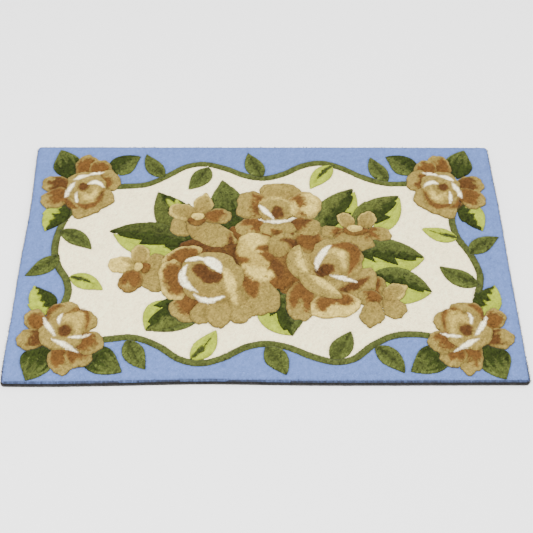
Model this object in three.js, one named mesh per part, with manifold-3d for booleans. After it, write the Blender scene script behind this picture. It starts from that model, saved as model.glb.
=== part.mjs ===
// Doormat, 800 x 500 mm: one tufted pile face, carved with roses, leaves and a trailing vine,
// on a dark backing sheet. Millimetres, +Z up. The origin is on the floor under the middle of
// the mat, +X runs along its length and +Y towards its back edge.

import * as THREE from 'three';
import { mergeVertices } from 'three/addons/utils/BufferGeometryUtils.js';
import Module from 'manifold-3d';

const wasm = await Module();
wasm.setup();

// Whole mat, in plan
const LENGTH = 800;
const DEPTH = 500;
const CORNER_RADIUS = 6;
const CORNER_STEPS = 3;
const SIDE_STEPS = 10;

// Heights above the floor
const BACKING_THICKNESS = 3.2;
const PIECE_GAP = 0.3;
const PILE_ROOT = BACKING_THICKNESS + PIECE_GAP;
const GROUND_TOP = 11;

// Pile edge: it stands back from the cut edge of the backing and rolls over at the top
const PILE_INSET = 1;
const ROLLED_EDGE = { out: 3, drop: 3, steps: 2 };

// Carved forms: buried depth, shoulder, and how far each kind stands above the ground pile
const BURIED = 3;
const SHOULDER = { out: 2.2, drop: 1.4, steps: 1 };
const VINE_RISE = 1.6;
const LEAF_RISE = 1.7;
const PETAL_RISE = 2.3;
const LAYER_STEP = 0.45;

// Vine
const VINE_WIDTH = 11.5;
const VINE_STEP = 22;

// Steps along a leaf or fold, and points round a petal
const LEAF_STEPS = 6;
const FOLD_STEPS = 5;
const PETAL_POINTS = 11;

// A leaf is fullest nearer its base, a fold tapers at both ends, a petal is broader outwards
const LEAF_FORM = { towardsBase: 0.8, fullness: 0.9 };
const FOLD_FULLNESS = 0.7;
const PETAL_BREADTH = 0.16;

// Yarn colours
const YARN = {
  blue: 0x97a9cb,
  cream: 0xe6dfd0,
  stem: 0x6b7233,
  mid: 0x6a7034,
  dark: 0x4b5223,
  light: 0xbbc06c,
  tan: 0xb8a26c,
  pale: 0xd6c79c,
  rust: 0x8f602d,
  brown: 0x7a5028,
  white: 0xe6dfd3,
};
const BACKING_COLOUR = 0x3d393b;

// How far each edge of the mat wanders from a straight line: reach outwards, centre and spread
const EDGE_WANDER = {
  front: [{ reach: -3.2, at: -95, spread: 115 }, { reach: 0.7, at: -330, spread: 60 }],
  left: [{ reach: -3.2, at: 105, spread: 90 }, { reach: 1.5, at: -210, spread: 60 }],
  right: [{ reach: 1.5, at: 105, spread: 90 }],
  back: [{ reach: 0.6, at: 150, spread: 160 }],
};

// How fast an edge's wander fades away from that edge
const WANDER_FADE = 8;

// Vine routes, as x and y of the turning points; each end runs in under a corner rose
const VINE_ROUTES = {
  back: [
    [-278, 152], [-238, 154], [-200, 159], [-165, 180], [-135, 201], [-103, 207], [-68, 197],
    [-34, 180], [0, 173], [34, 183], [66, 202], [100, 210], [134, 199], [170, 177], [205, 162],
    [240, 160], [278, 166],
  ],
  front: [
    [-278, -174], [-240, -168], [-205, -166], [-168, -181], [-134, -206], [-100, -214], [-66, -204],
    [-33, -185], [0, -178], [34, -185], [70, -202], [104, -212], [135, -206], [165, -181],
    [200, -163], [240, -161], [278, -170],
  ],
  left: [
    [-322, 104], [-336, 75], [-344, 42], [-345, 8], [-336, -24], [-321, -50], [-315, -78], [-322, -112],
  ],
  right: [
    [320, 104], [318, 72], [324, 40], [337, 14], [346, -14], [349, -44], [343, -74], [330, -112],
  ],
};

// Builds rows with named columns out of a short table
function rows(columns, table) {
  return table.map((row) => Object.fromEntries(columns.map((name, i) => [name, row[i]])));
}

// Leaves run from a base to a tip; bend bows the midrib to the left of that way
const LEAF_COLUMNS = ['baseX', 'baseY', 'tipX', 'tipY', 'width', 'bend', 'layer', 'yarn'];

const VINE_LEAVES = rows(LEAF_COLUMNS, [
  [-172, 176, -206, 231, 30, 4, 0, 'mid'],
  [-96, 199, -130, 147, 34, 3, 0, 'mid'],
  [-2, 176, -26, 234, 32, -3, 0, 'mid'],
  [121, 203, 80, 148, 32, -3, 0, 'light'],
  [216, 166, 189, 224, 31, 4, 0, 'mid'],
  [-214, -170, -184, -225, 34, -3, 0, 'mid'],
  [-116, -207, -78, -152, 34, -4, 0, 'light'],
  [-1, -184, 30, -236, 36, 3, 0, 'mid'],
  [98, -206, 132, -154, 34, -4, 0, 'mid'],
  [168, -184, 210, -233, 33, 4, 0, 'mid'],
  [-341, 52, -285, 12, 31, 5, 0, 'mid'],
  [-337, 0, -388, -43, 31, 4, 0, 'mid'],
  [-316, -46, -260, -72, 31, 3, 0, 'light'],
  [322, 36, 264, 58, 30, 3, 0, 'light'],
  [338, 2, 391, 38, 31, 4, 0, 'mid'],
  [345, -62, 285, -24, 34, 5, 0, 'mid'],
]);

// The leaves and petals of the two corner designs; the right corners mirror the left ones
const BACK_CORNER_LEAVES = rows(LEAF_COLUMNS, [
  [-334, 172, -357, 240, 46, -4, 0, 'dark'],
  [-264, 180, -216, 225, 44, 5, 0, 'mid'],
  [-336, 116, -366, 52, 46, -2, 0, 'light'],
]);
const FRONT_CORNER_LEAVES = rows(LEAF_COLUMNS, [
  [-340, -182, -361, -248, 46, 3, 0, 'dark'],
  [-276, -186, -220, -229, 44, -4, 0, 'mid'],
  [-334, -120, -370, -64, 46, 4, 0, 'light'],
]);

const BOUQUET_LEAVES = rows(LEAF_COLUMNS, [
  [-136, 48, -181, 140, 54, 8, 0, 'dark'],
  [-168, 108, -112, 118, 26, 5, 0, 'dark'],
  [-128, 22, -259, 51, 54, -9, 1, 'dark'],
  [-150, 2, -252, 46, 38, 8, 0, 'light'],
  [-48, 48, -72, 168, 60, -7, 0, 'mid'],
  [88, 42, 153, 148, 52, 8, 1, 'dark'],
  [108, 52, 156, 140, 34, -8, 0, 'light'],
  [148, 62, 231, 131, 46, 7, 1, 'dark'],
  [182, 46, 232, 127, 38, -10, 0, 'light'],
  [150, 4, 260, -6, 52, 6, 1, 'dark'],
  [158, -26, 256, -12, 34, -7, 0, 'light'],
  [172, -44, 266, -77, 42, 7, 1, 'dark'],
  [192, -88, 262, -82, 34, -5, 0, 'light'],
  [-118, -68, -187, -153, 54, 9, 1, 'dark'],
  [-140, -96, -190, -146, 40, 8, 0, 'light'],
  [-96, -112, -184, -152, 32, 5, 0, 'mid'],
  [24, -58, 41, -163, 46, 4, 1, 'dark'],
  [4, -96, 36, -156, 38, -8, 0, 'light'],
  [40, -96, 44, -156, 30, 4, 0, 'mid'],
]);

// Petals are egg shapes that point outwards along turn, in degrees from +X
const PETAL_COLUMNS = ['x', 'y', 'length', 'width', 'turn', 'layer', 'yarn'];

const BACK_CORNER_PETALS = rows(PETAL_COLUMNS, [
  [-311, 198, 56, 47, 105, 0, 'rust'],
  [-284, 195, 48, 44, 70, 1, 'rust'],
  [-355, 158, 60, 45, 172, 0, 'tan'],
  [-351, 125, 62, 48, 218, 1, 'tan'],
  [-274, 167, 58, 56, 22, 1, 'tan'],
  [-300, 118, 76, 86, 280, 2, 'tan'],
  [-309, 150, 76, 76, 90, 3, 'tan'],
]);
const FRONT_CORNER_PETALS = rows(PETAL_COLUMNS, [
  [-359, -134, 54, 46, 140, 0, 'tan'],
  [-357, -165, 62, 46, 188, 1, 'tan'],
  [-314, -203, 58, 48, 255, 0, 'rust'],
  [-285, -202, 46, 44, 295, 1, 'rust'],
  [-275, -170, 56, 56, 345, 1, 'tan'],
  [-301, -131, 72, 84, 70, 2, 'tan'],
  [-318, -158, 76, 76, 250, 3, 'tan'],
]);

const BOUQUET_PETALS = rows(PETAL_COLUMNS, [
  // shadowed petals that show between the flowers
  [-78, 6, 62, 136, 90, 0, 'brown'],
  [-40, 24, 78, 56, 90, 0, 'brown'],
  [16, 40, 50, 80, 90, 0, 'rust'],
  [40, 6, 74, 56, 90, 0, 'brown'],
  [102, -58, 74, 84, 300, 0, 'tan'],
  // rose at the back
  [27, 136, 54, 74, 90, 0, 'tan'],
  [-22, 108, 60, 70, 178, 1, 'tan'],
  [68, 107, 62, 72, 5, 1, 'pale'],
  [-21, 59, 54, 42, 200, 1, 'rust'],
  [66, 60, 58, 40, -20, 1, 'tan'],
  [22, 60, 44, 58, 270, 2, 'tan'],
  [22, 97, 56, 66, 90, 3, 'tan'],
  // shell petal and blossom at the left
  [-134, 62, 48, 46, 190, 0, 'tan'],
  [-104, 109, 50, 36, 80, 0, 'tan'],
  [-136, 94, 54, 38, 160, 1, 'pale'],
  [-80, 82, 52, 36, 5, 1, 'tan'],
  [-98, 40, 62, 90, 100, 1, 'tan'],
  [-113, 82, 22, 24, 90, 2, 'pale'],
  // blossom at the far left
  [-204, -4, 50, 34, 92, 1, 'tan'],
  [-229, -23, 54, 36, 175, 0, 'pale'],
  [-217, -52, 54, 38, 245, 1, 'rust'],
  [-180, -19, 48, 40, 20, 0, 'tan'],
  [-182, -50, 56, 42, 320, 0, 'tan'],
  [-203, -29, 20, 20, 90, 2, 'pale'],
  // big rose at the left
  [-136, 2, 42, 76, 118, 1, 'rust'],
  [-146, -53, 54, 84, 188, 1, 'rust'],
  [-116, -106, 56, 70, 235, 0, 'rust'],
  [-6, -77, 88, 58, 275, 0, 'tan'],
  [-30, -70, 98, 54, 285, 1, 'rust'],
  [-68, -115, 60, 74, 272, 1, 'tan'],
  [-88, -52, 108, 90, 90, 3, 'tan'],
  // bud in the middle
  [-16, 18, 60, 66, 120, 1, 'pale'],
  [26, 20, 58, 54, 50, 2, 'tan'],
  [26, -40, 62, 46, 270, 1, 'rust'],
  [-7, -20, 54, 56, 240, 3, 'pale'],
  // rose at the right
  [73, 30, 58, 54, 95, 0, 'rust'],
  [148, -62, 54, 80, 330, 1, 'tan'],
  [56, -92, 86, 52, 262, 1, 'rust'],
  [110, -105, 50, 80, 280, 2, 'pale'],
  [116, -10, 90, 94, 40, 2, 'tan'],
  [111, -24, 46, 50, 60, 3, 'tan'],
  // blossom at the right
  [138, 72, 42, 32, 115, 1, 'tan'],
  [170, 73, 42, 38, 62, 1, 'tan'],
  [188, 47, 46, 32, -10, 0, 'tan'],
  [118, 49, 52, 28, 175, 0, 'rust'],
  [146, 31, 50, 70, 265, 0, 'tan'],
  [155, 56, 18, 30, 90, 2, 'pale'],
  // blossom at the front right
  [204, -80, 44, 34, 35, 2, 'pale'],
  [169, -93, 38, 32, 170, 1, 'rust'],
  [170, -121, 50, 40, 250, 2, 'tan'],
  [201, -109, 44, 38, 300, 1, 'tan'],
]);

// Folds and lips are blades along an arc through three points, tapered at both ends
const FOLD_COLUMNS = ['startX', 'startY', 'midX', 'midY', 'endX', 'endY', 'width', 'layer', 'yarn'];

const BACK_CORNER_FOLDS = rows(FOLD_COLUMNS, [
  [-326, 160, -335, 143, -341, 118, 11, 4, 'white'],
  [-331, 163, -311, 173, -282, 184, 11, 4, 'white'],
]);
const FRONT_CORNER_FOLDS = rows(FOLD_COLUMNS, [
  [-344, -130, -339, -148, -325, -165, 11, 4, 'white'],
  [-332, -172, -311, -184, -285, -196, 11, 4, 'white'],
]);

const BOUQUET_FOLDS = rows(FOLD_COLUMNS, [
  [-9, 110, 7, 93, 18, 74, 11, 4, 'white'],
  [-8, 74, 22, 67, 48, 78, 9, 4, 'white'],
  [-128, -32, -138, -60, -106, -86, 14, 4, 'white'],
  [-132, -14, -96, -12, -72, -42, 20, 4, 'white'],
  [-114, -87, -88, -103, -60, -88, 12, 4, 'white'],
  [-78, -2, -54, -48, -50, -112, 24, 4, 'pale'],
  [58, 24, 56, -36, 124, -98, 38, 3, 'pale'],
  [112, 17, 91, -4, 82, -38, 13, 4, 'white'],
  [101, -45, 124, -50, 148, -59, 10, 4, 'white'],
]);

// A mirrored copy of a row, for the right-hand corners
function mirrored(row) {
  const copy = { ...row };
  for (const name of ['x', 'baseX', 'tipX', 'startX', 'midX', 'endX']) {
    if (name in copy) copy[name] = -copy[name];
  }
  if ('turn' in copy) copy.turn = 180 - copy.turn;
  if ('bend' in copy) copy.bend = -copy.bend;
  return copy;
}

function withMirror(table) {
  return [...table, ...table.map(mirrored)];
}

// A smooth rise and fall of the wander at one place along an edge
function wander(list, along) {
  return list.reduce((sum, wave) => {
    const away = (along - wave.at) / wave.spread;
    return sum + wave.reach * Math.exp(-away * away);
  }, 0);
}

// The mat's outline: a rounded rectangle whose edges wander
function matOutline(inset) {
  const halfX = LENGTH / 2 - inset;
  const halfY = DEPTH / 2 - inset;
  const radius = CORNER_RADIUS;
  const straight = [];
  const corners = [[1, -1], [1, 1], [-1, 1], [-1, -1]];
  corners.forEach(([signX, signY], corner) => {
    const startAngle = (corner - 1) * Math.PI / 2;
    for (let i = 0; i <= CORNER_STEPS; i += 1) {
      const angle = startAngle + i * Math.PI / 2 / CORNER_STEPS;
      straight.push(new THREE.Vector2(
        signX * (halfX - radius) + radius * Math.cos(angle),
        signY * (halfY - radius) + radius * Math.sin(angle),
      ));
    }
    const from = straight[straight.length - 1];
    const [nextX, nextY] = corners[(corner + 1) % 4];
    const nextAngle = startAngle + Math.PI / 2;
    const to = new THREE.Vector2(
      nextX * (halfX - radius) + radius * Math.cos(nextAngle),
      nextY * (halfY - radius) + radius * Math.sin(nextAngle),
    );
    for (let i = 1; i < SIDE_STEPS; i += 1) {
      straight.push(from.clone().lerp(to, i / SIDE_STEPS));
    }
  });
  return straight.map(({ x, y }) => {
    const towardsX = (Math.abs(x) / (LENGTH / 2)) ** WANDER_FADE;
    const towardsY = (Math.abs(y) / (DEPTH / 2)) ** WANDER_FADE;
    const outX = towardsX * (x > 0 ? wander(EDGE_WANDER.right, y) : -wander(EDGE_WANDER.left, y));
    const outY = towardsY * (y > 0 ? wander(EDGE_WANDER.back, x) : -wander(EDGE_WANDER.front, x));
    return new THREE.Vector2(x + outX, y + outY);
  });
}

// A band along a centre line, with a half width given at each share of the way
function bandOutline(centres, halfWidthAt) {
  const left = [];
  const right = [];
  centres.forEach((point, i) => {
    const before = centres[Math.max(0, i - 1)];
    const after = centres[Math.min(centres.length - 1, i + 1)];
    const way = after.clone().sub(before).normalize();
    const across = new THREE.Vector2(-way.y, way.x);
    const half = halfWidthAt(i / (centres.length - 1));
    left.push(point.clone().addScaledVector(across, half));
    if (half > 0) right.push(point.clone().addScaledVector(across, -half));
  });
  return left.reverse().concat(right);
}

// A leaf: full near its base, drawn out to a point at its tip, its midrib bowed sideways
function leafOutline(leaf) {
  const base = new THREE.Vector2(leaf.baseX, leaf.baseY);
  const tip = new THREE.Vector2(leaf.tipX, leaf.tipY);
  const way = tip.clone().sub(base).normalize();
  const across = new THREE.Vector2(-way.y, way.x);
  const centres = [];
  for (let i = 0; i <= LEAF_STEPS; i += 1) {
    const share = i / LEAF_STEPS;
    const bow = leaf.bend * 4 * share * (1 - share);
    centres.push(base.clone().lerp(tip, share).addScaledVector(across, bow));
  }
  return bandOutline(centres, (share) => {
    if (share === 0 || share === 1) return 0;
    return 0.5 * leaf.width * Math.sin(Math.PI * share ** LEAF_FORM.towardsBase) ** LEAF_FORM.fullness;
  });
}

// A petal: an egg whose broad end points outwards
function petalOutline(petal) {
  const turn = THREE.MathUtils.degToRad(petal.turn);
  const outline = [];
  for (let i = 0; i < PETAL_POINTS; i += 1) {
    const angle = 2 * Math.PI * i / PETAL_POINTS;
    const out = 0.5 * petal.length * Math.cos(angle);
    const side = 0.5 * petal.width * Math.sin(angle) * (1 + PETAL_BREADTH * Math.cos(angle));
    outline.push(new THREE.Vector2(
      petal.x + out * Math.cos(turn) - side * Math.sin(turn),
      petal.y + out * Math.sin(turn) + side * Math.cos(turn),
    ));
  }
  return outline;
}

// A fold: a blade along the curve through its start, middle and end
function foldOutline(fold) {
  const curve = new THREE.SplineCurve([
    new THREE.Vector2(fold.startX, fold.startY),
    new THREE.Vector2(fold.midX, fold.midY),
    new THREE.Vector2(fold.endX, fold.endY),
  ]);
  return bandOutline(curve.getPoints(FOLD_STEPS), (share) => {
    if (share === 0 || share === 1) return 0;
    return 0.5 * fold.width * Math.sin(Math.PI * share) ** FOLD_FULLNESS;
  });
}

// The middle line of one stretch of the vine
function vineCentres(route) {
  const curve = new THREE.SplineCurve(route.map(([x, y]) => new THREE.Vector2(x, y)));
  return curve.getSpacedPoints(Math.round(curve.getLength() / VINE_STEP));
}

// An outline pulled up between two heights, its top edge rounded over
function rounded(outline, bottom, top, edge) {
  const depth = top - bottom - 2 * edge.drop;
  const geometry = new THREE.ExtrudeGeometry(new THREE.Shape(outline), {
    depth,
    steps: 1,
    bevelEnabled: true,
    bevelThickness: edge.drop,
    bevelSize: edge.out,
    bevelOffset: -edge.out,
    bevelSegments: edge.steps,
  });
  geometry.translate(0, 0, bottom + edge.drop);
  return geometry;
}

// An outline pulled up straight between two heights
function plain(outline, bottom, top) {
  const geometry = new THREE.ExtrudeGeometry(new THREE.Shape(outline), {
    depth: top - bottom,
    bevelEnabled: false,
  });
  geometry.translate(0, 0, bottom);
  return geometry;
}

function toSolid(geometry) {
  const bare = geometry.clone();
  bare.deleteAttribute('normal');
  bare.deleteAttribute('uv');
  const merged = mergeVertices(bare, 1e-4);
  return new wasm.Manifold(new wasm.Mesh({
    numProp: 3,
    vertProperties: new Float32Array(merged.attributes.position.array),
    triVerts: new Uint32Array(merged.index.array),
  }));
}

function toGeometry(solid) {
  const mesh = solid.getMesh();
  const geometry = new THREE.BufferGeometry();
  geometry.setAttribute('position', new THREE.BufferAttribute(new Float32Array(mesh.vertProperties), 3));
  geometry.setIndex(new THREE.BufferAttribute(new Uint32Array(mesh.triVerts), 1));
  return geometry;
}

// True where a point in plan lies inside an outline
function inside(outline, x, y) {
  let within = false;
  outline.forEach((a, i) => {
    const b = outline[(i + outline.length - 1) % outline.length];
    const crosses = (a.y > y) !== (b.y > y);
    if (crosses && x < a.x + (b.x - a.x) * (y - a.y) / (b.y - a.y)) within = !within;
  });
  return within;
}

// Every carved form, lowest first: its outline, its top and its yarn
function carvedForms() {
  const forms = Object.values(VINE_ROUTES).map((route) => ({
    outline: bandOutline(vineCentres(route), () => 0.5 * VINE_WIDTH),
    top: GROUND_TOP + VINE_RISE,
    yarn: 'stem',
  }));
  const add = (table, outlineOf, rise) => table.forEach((row) => forms.push({
    outline: outlineOf(row),
    top: GROUND_TOP + rise + row.layer * LAYER_STEP,
    yarn: row.yarn,
  }));
  add(VINE_LEAVES, leafOutline, LEAF_RISE);
  add(withMirror(BACK_CORNER_LEAVES), leafOutline, LEAF_RISE);
  add(withMirror(FRONT_CORNER_LEAVES), leafOutline, LEAF_RISE);
  add(BOUQUET_LEAVES, leafOutline, LEAF_RISE);
  add(withMirror(BACK_CORNER_PETALS), petalOutline, PETAL_RISE);
  add(withMirror(FRONT_CORNER_PETALS), petalOutline, PETAL_RISE);
  add(BOUQUET_PETALS, petalOutline, PETAL_RISE);
  add(withMirror(BACK_CORNER_FOLDS), foldOutline, PETAL_RISE);
  add(withMirror(FRONT_CORNER_FOLDS), foldOutline, PETAL_RISE);
  add(BOUQUET_FOLDS, foldOutline, PETAL_RISE);
  return forms.sort((a, b) => a.top - b.top);
}

// The cream field's outline: the vine's middle lines, joined under the corner roses
function fieldOutline() {
  const { back, front, left, right } = VINE_ROUTES;
  return [
    ...vineCentres(back),
    ...vineCentres(right),
    ...vineCentres(front).reverse(),
    ...vineCentres(left).reverse(),
  ];
}

// Gives each triangle of the pile the colour of the yarn that tops it
function dyed(geometry, forms) {
  const loose = geometry.toNonIndexed();
  const position = loose.attributes.position;
  const colours = new Float32Array(position.count * 3);
  const field = fieldOutline();
  const highestFirst = [...forms].reverse();
  for (let i = 0; i < position.count; i += 3) {
    const x = (position.getX(i) + position.getX(i + 1) + position.getX(i + 2)) / 3;
    const y = (position.getY(i) + position.getY(i + 1) + position.getY(i + 2)) / 3;
    const form = highestFirst.find(({ outline }) => inside(outline, x, y));
    const ground = inside(field, x, y) ? 'cream' : 'blue';
    const colour = new THREE.Color(YARN[form ? form.yarn : ground]);
    for (let k = 0; k < 3; k += 1) colour.toArray(colours, 3 * (i + k));
  }
  loose.setAttribute('color', new THREE.BufferAttribute(colours, 3));
  loose.computeVertexNormals();
  return loose;
}

// The tufted face: the ground pile with its rolled edge, and the carved forms raised on it
function makePile() {
  const outline = matOutline(PILE_INSET);
  const forms = carvedForms();
  const base = toSolid(plain(outline, PILE_ROOT, GROUND_TOP - ROLLED_EDGE.drop));
  const top = toSolid(rounded(outline, PILE_ROOT + BURIED / 2, GROUND_TOP, ROLLED_EDGE));
  const raised = forms.map((form) => (
    toSolid(rounded(form.outline, GROUND_TOP - BURIED, form.top, SHOULDER))
  ));
  const pile = raised.reduce((whole, form) => whole.add(form), base.add(top));
  const yarn = new THREE.MeshStandardMaterial({ vertexColors: true, roughness: 0.95, metalness: 0 });
  const mesh = new THREE.Mesh(dyed(toGeometry(pile), forms), yarn);
  mesh.name = 'pile';
  return mesh;
}

// The backing sheet, flat on the floor, reaching just past the pile all round
function makeBacking() {
  const felt = new THREE.MeshStandardMaterial({
    color: BACKING_COLOUR,
    roughness: 0.9,
    metalness: 0,
  });
  const mesh = new THREE.Mesh(plain(matOutline(0), 0, BACKING_THICKNESS), felt);
  mesh.name = 'backing';
  return mesh;
}

const doormat = new THREE.Group();
doormat.name = 'doormat';
doormat.add(makePile(), makeBacking());

export default doormat;
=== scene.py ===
"""A doormat: a carved cut-pile face of roses, leaves and a trailing vine on a dark backing."""

import math
from collections import namedtuple

import bpy
import numpy as np
from mathutils import Matrix, Vector
from mathutils.geometry import delaunay_2d_cdt


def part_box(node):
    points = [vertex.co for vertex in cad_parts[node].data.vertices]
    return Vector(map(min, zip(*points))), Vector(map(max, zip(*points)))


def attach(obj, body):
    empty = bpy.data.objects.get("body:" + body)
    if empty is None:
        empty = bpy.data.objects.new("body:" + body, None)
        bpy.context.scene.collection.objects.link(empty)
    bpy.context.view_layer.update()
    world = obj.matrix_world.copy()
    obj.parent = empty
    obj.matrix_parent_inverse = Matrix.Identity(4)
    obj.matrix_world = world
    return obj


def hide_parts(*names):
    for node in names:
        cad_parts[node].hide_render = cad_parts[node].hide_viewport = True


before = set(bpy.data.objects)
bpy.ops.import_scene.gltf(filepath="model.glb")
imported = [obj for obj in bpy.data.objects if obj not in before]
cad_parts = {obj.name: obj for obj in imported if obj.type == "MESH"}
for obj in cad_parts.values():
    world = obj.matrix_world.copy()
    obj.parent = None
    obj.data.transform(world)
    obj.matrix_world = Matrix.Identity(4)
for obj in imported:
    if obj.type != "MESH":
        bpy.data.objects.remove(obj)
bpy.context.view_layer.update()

# Design sizes are in millimetres, and meshes are built in metres
MM = 0.001
SEED = 7

# Whole mat: the backing's top from the frame, the cut size, and how far in the pile starts
BACKING_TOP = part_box("backing")[1][2] / MM
LENGTH = 800.0
DEPTH = 500.0
CORNER_RADIUS = 6.0
PILE_INSET = 1.0

# Heights above the floor
GROUND_TOP = 11.0
PILE_ROOT = BACKING_TOP + 0.15
VINE_RISE = 1.6
LEAF_RISE = 1.7
PETAL_RISE = 2.3
LAYER_STEP = 0.45

# Tufts: spacing, depth of the dip between two tufts, and how unevenly they were sheared
TUFT_PITCH = 2.25
TUFT_DIP = 0.62
TUFT_UNEVEN = 0.3
TUFT_WANDER = 0.16
NAP_LUMPS = 0.22
NAP_LEAN = (0.1, -0.15)
NAP_SPREAD = 0.3

# Pile edge: rolled over at the top, and bulging unevenly at rows down its side, which are given as
# shares of its height
ROLLED_EDGE = 2.5
RIM_ROWS = (0.74, 0.42, 0.0)
RIM_BULGE = 0.55
BULGE_RANGE = (-0.35, 1.0)

# Carving: how far the shears drop the pile at an outline, over what width, and the crown beyond
Carving = namedtuple("Carving", "drop width crown crown_width")
CARVING = {
    "ground": Carving(1.5, 3.2, 0.0, 1.0),
    "vine": Carving(2.2, 4.0, 0.4, 5.5),
    "leaf": Carving(2.0, 2.8, 0.8, 12.0),
    "petal": Carving(1.7, 2.8, 1.1, 16.0),
}
RIB_GROOVE = 0.9
RIB_WIDTH = 1.5
PETAL_TILT = 0.35

# Teeth along a leaf's side, and how far they sweep towards its tip, as a share of its half width
LEAF_TEETH = 3
TOOTH_SWEEP = 0.6

# Painted shade darkens the yarn along carved lines: how much at the line itself, how much painted
# shadow on the lower pile beside a form, and what share of that is left beside the ground
LINE_SHADE = 0.24
LINE_WIDTH = 1.5
FOOT_SHADE = 0.12
FOOT_WIDTH = 4.5
GROUND_SHARE = 0.3

# Near the edge, painted shade: the yarn is mixed towards the dark root colour and darkened a
# little. In a pair, the first number is for the other edges and the second for the front, and one
# fades into the other along the sides.
ROOT_SHADE_SHOW = (0.15, 0.97)
ROOT_SHADE_WIDTH = 2.5
RIM_SHADE = (0.06, 0.07)
RIM_SHADE_WIDTH = 7
FRONT_FADE = 30

# How much painted shade the walls take, as a share of the dark root colour, at the edge of the mat
# and between two forms
RIM_WALL_SHADE = 1.0
WALL_SHADE = 0.3

# How much the yarn differs from tuft to tuft, and the share of that in light leaves
TUFT_SHADE = {"ground": 0.07, "vine": 0.19, "leaf": 0.24, "petal": 0.16}
LIGHT_YARN = 0.18
LIGHT_SHARE = 0.4

# Colours of the yarns, the dark root colour used for painted shade deep in the pile, and the
# backing
YARN = {
    "blue": "#5a70a5",
    "cream": "#fceebc",
    "stem": "#434922",
    "mid": "#40471f",
    "sage": "#444a20",
    "moss": "#353b18",
    "dark": "#272f0e",
    "light": "#909c2a",
    "tan": "#806e36",
    "straw": "#a38d44",
    "pale": "#bca555",
    "gold": "#715a2a",
    "rust": "#593c1a",
    "brown": "#4b3116",
    "umber": "#482e15",
    "white": "#fdf1c8",
    # painted shade: the dark deep in the pile, mixed into walls, edges and edge locks
    "root": "#272524",
    "backing": "#3a3638",
    "pitch": "#191819",
    "fleck": "#4e4b48",
}

# Side of the backing, from the floor up: height, and how far it stands out from the cut line
BACKING_EDGE = ((0.0, -0.3), (0.5, 0.0), (1.7, 0.1), (2.7, 0.0), (BACKING_TOP, -0.5))

# Yarn locks along the edges count as this far up from the painted shade between the tufts, from 0
# to 1
LOCK_TIP = 0.55

# How far each edge of the mat wanders from a straight line
Wave = namedtuple("Wave", "reach at spread")
EDGE_WANDER = {
    "front": [Wave(-3.2, -95, 115), Wave(0.7, -330, 60)],
    "left": [Wave(-3.2, 105, 90), Wave(1.5, -210, 60)],
    "right": [Wave(1.5, 105, 90)],
    "back": [Wave(0.6, 150, 160)],
}
WANDER_FADE = 8

# Vine, as x and y of the turning points; each end runs in under a corner rose
VINE_WIDTH = 11.5
VINE_ROUTES = {
    "back": [
        (-278, 152), (-238, 154), (-200, 159), (-165, 180), (-135, 201), (-103, 207), (-68, 197),
        (-34, 180), (0, 173), (34, 183), (66, 202), (100, 210), (134, 199), (170, 177), (205, 162),
        (240, 160), (278, 166),
    ],
    "front": [
        (-278, -174), (-240, -168), (-205, -166), (-168, -181), (-134, -206), (-100, -214),
        (-66, -204), (-33, -185), (0, -178), (34, -185), (70, -202), (104, -212), (135, -206),
        (165, -181), (200, -163), (240, -161), (278, -170),
    ],
    "left": [
        (-322, 104), (-336, 75), (-344, 42), (-345, 8), (-336, -24), (-321, -50), (-315, -78),
        (-322, -112),
    ],
    "right": [
        (320, 104), (317, 72), (321, 40), (333, 14), (344, -14), (349, -44), (343, -74),
        (330, -112),
    ],
}

# Leaves run from base to tip, and bend bows the midrib to the left of that way. Style: "plain" has
# darker yarn along the rib, "ribbed" is light with a dark rib, "left" and "right" have a second
# colour on that side of the rib, "base" has it at the base, and "solid" has none. Teeth say how far
# one side or the other is cut in, as a share of the half width.
Leaf = namedtuple("Leaf", "base_x base_y tip_x tip_y width bend layer yarn style second "
                  "left_teeth right_teeth",
                  defaults=(0, "mid", "plain", "moss", 0.0, 0.0))

VINE_LEAVES = [
    Leaf(-172, 176, -206, 231, 30, 4),
    Leaf(-96, 199, -130, 147, 34, 3),
    Leaf(-2, 176, -27, 234, 33, 3),
    Leaf(121, 203, 80, 148, 32, -3, 0, "light", "ribbed", "moss"),
    Leaf(216, 166, 189, 224, 31, 4),
    Leaf(-214, -170, -184, -225, 34, -3),
    Leaf(-116, -207, -78, -152, 34, -4, 0, "light", "ribbed", "moss"),
    Leaf(-1, -184, 30, -236, 36, 3),
    Leaf(98, -206, 132, -154, 34, -4),
    Leaf(168, -184, 210, -233, 33, 4),
    Leaf(-341, 52, -285, 12, 31, 5),
    Leaf(-337, 0, -388, -43, 31, 4),
    Leaf(-316, -46, -260, -72, 31, 3, 0, "light", "ribbed", "moss"),
    Leaf(322, 36, 264, 58, 30, 3, 0, "light", "ribbed", "moss"),
    Leaf(338, 2, 391, 38, 31, 4),
    Leaf(345, -62, 285, -24, 34, 5),
]

BACK_CORNER_LEAVES = [
    Leaf(-337, 172, -358, 241, 50, -4, 0, "mid", "base", "dark"),
    Leaf(-264, 180, -216, 225, 46, 5, 0, "mid", "left", "dark"),
    Leaf(-336, 116, -366, 52, 46, -2, 0, "light", "left", "dark", 0.0, 0.12),
]
FRONT_CORNER_LEAVES = [
    Leaf(-345, -178, -363, -245, 54, 4, 0, "mid", "base", "dark"),
    Leaf(-278, -184, -219, -230, 50, -4, 0, "mid", "base", "dark"),
    Leaf(-334, -120, -370, -64, 46, 4, 0, "light", "right", "dark", 0.12, 0.0),
]

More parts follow.
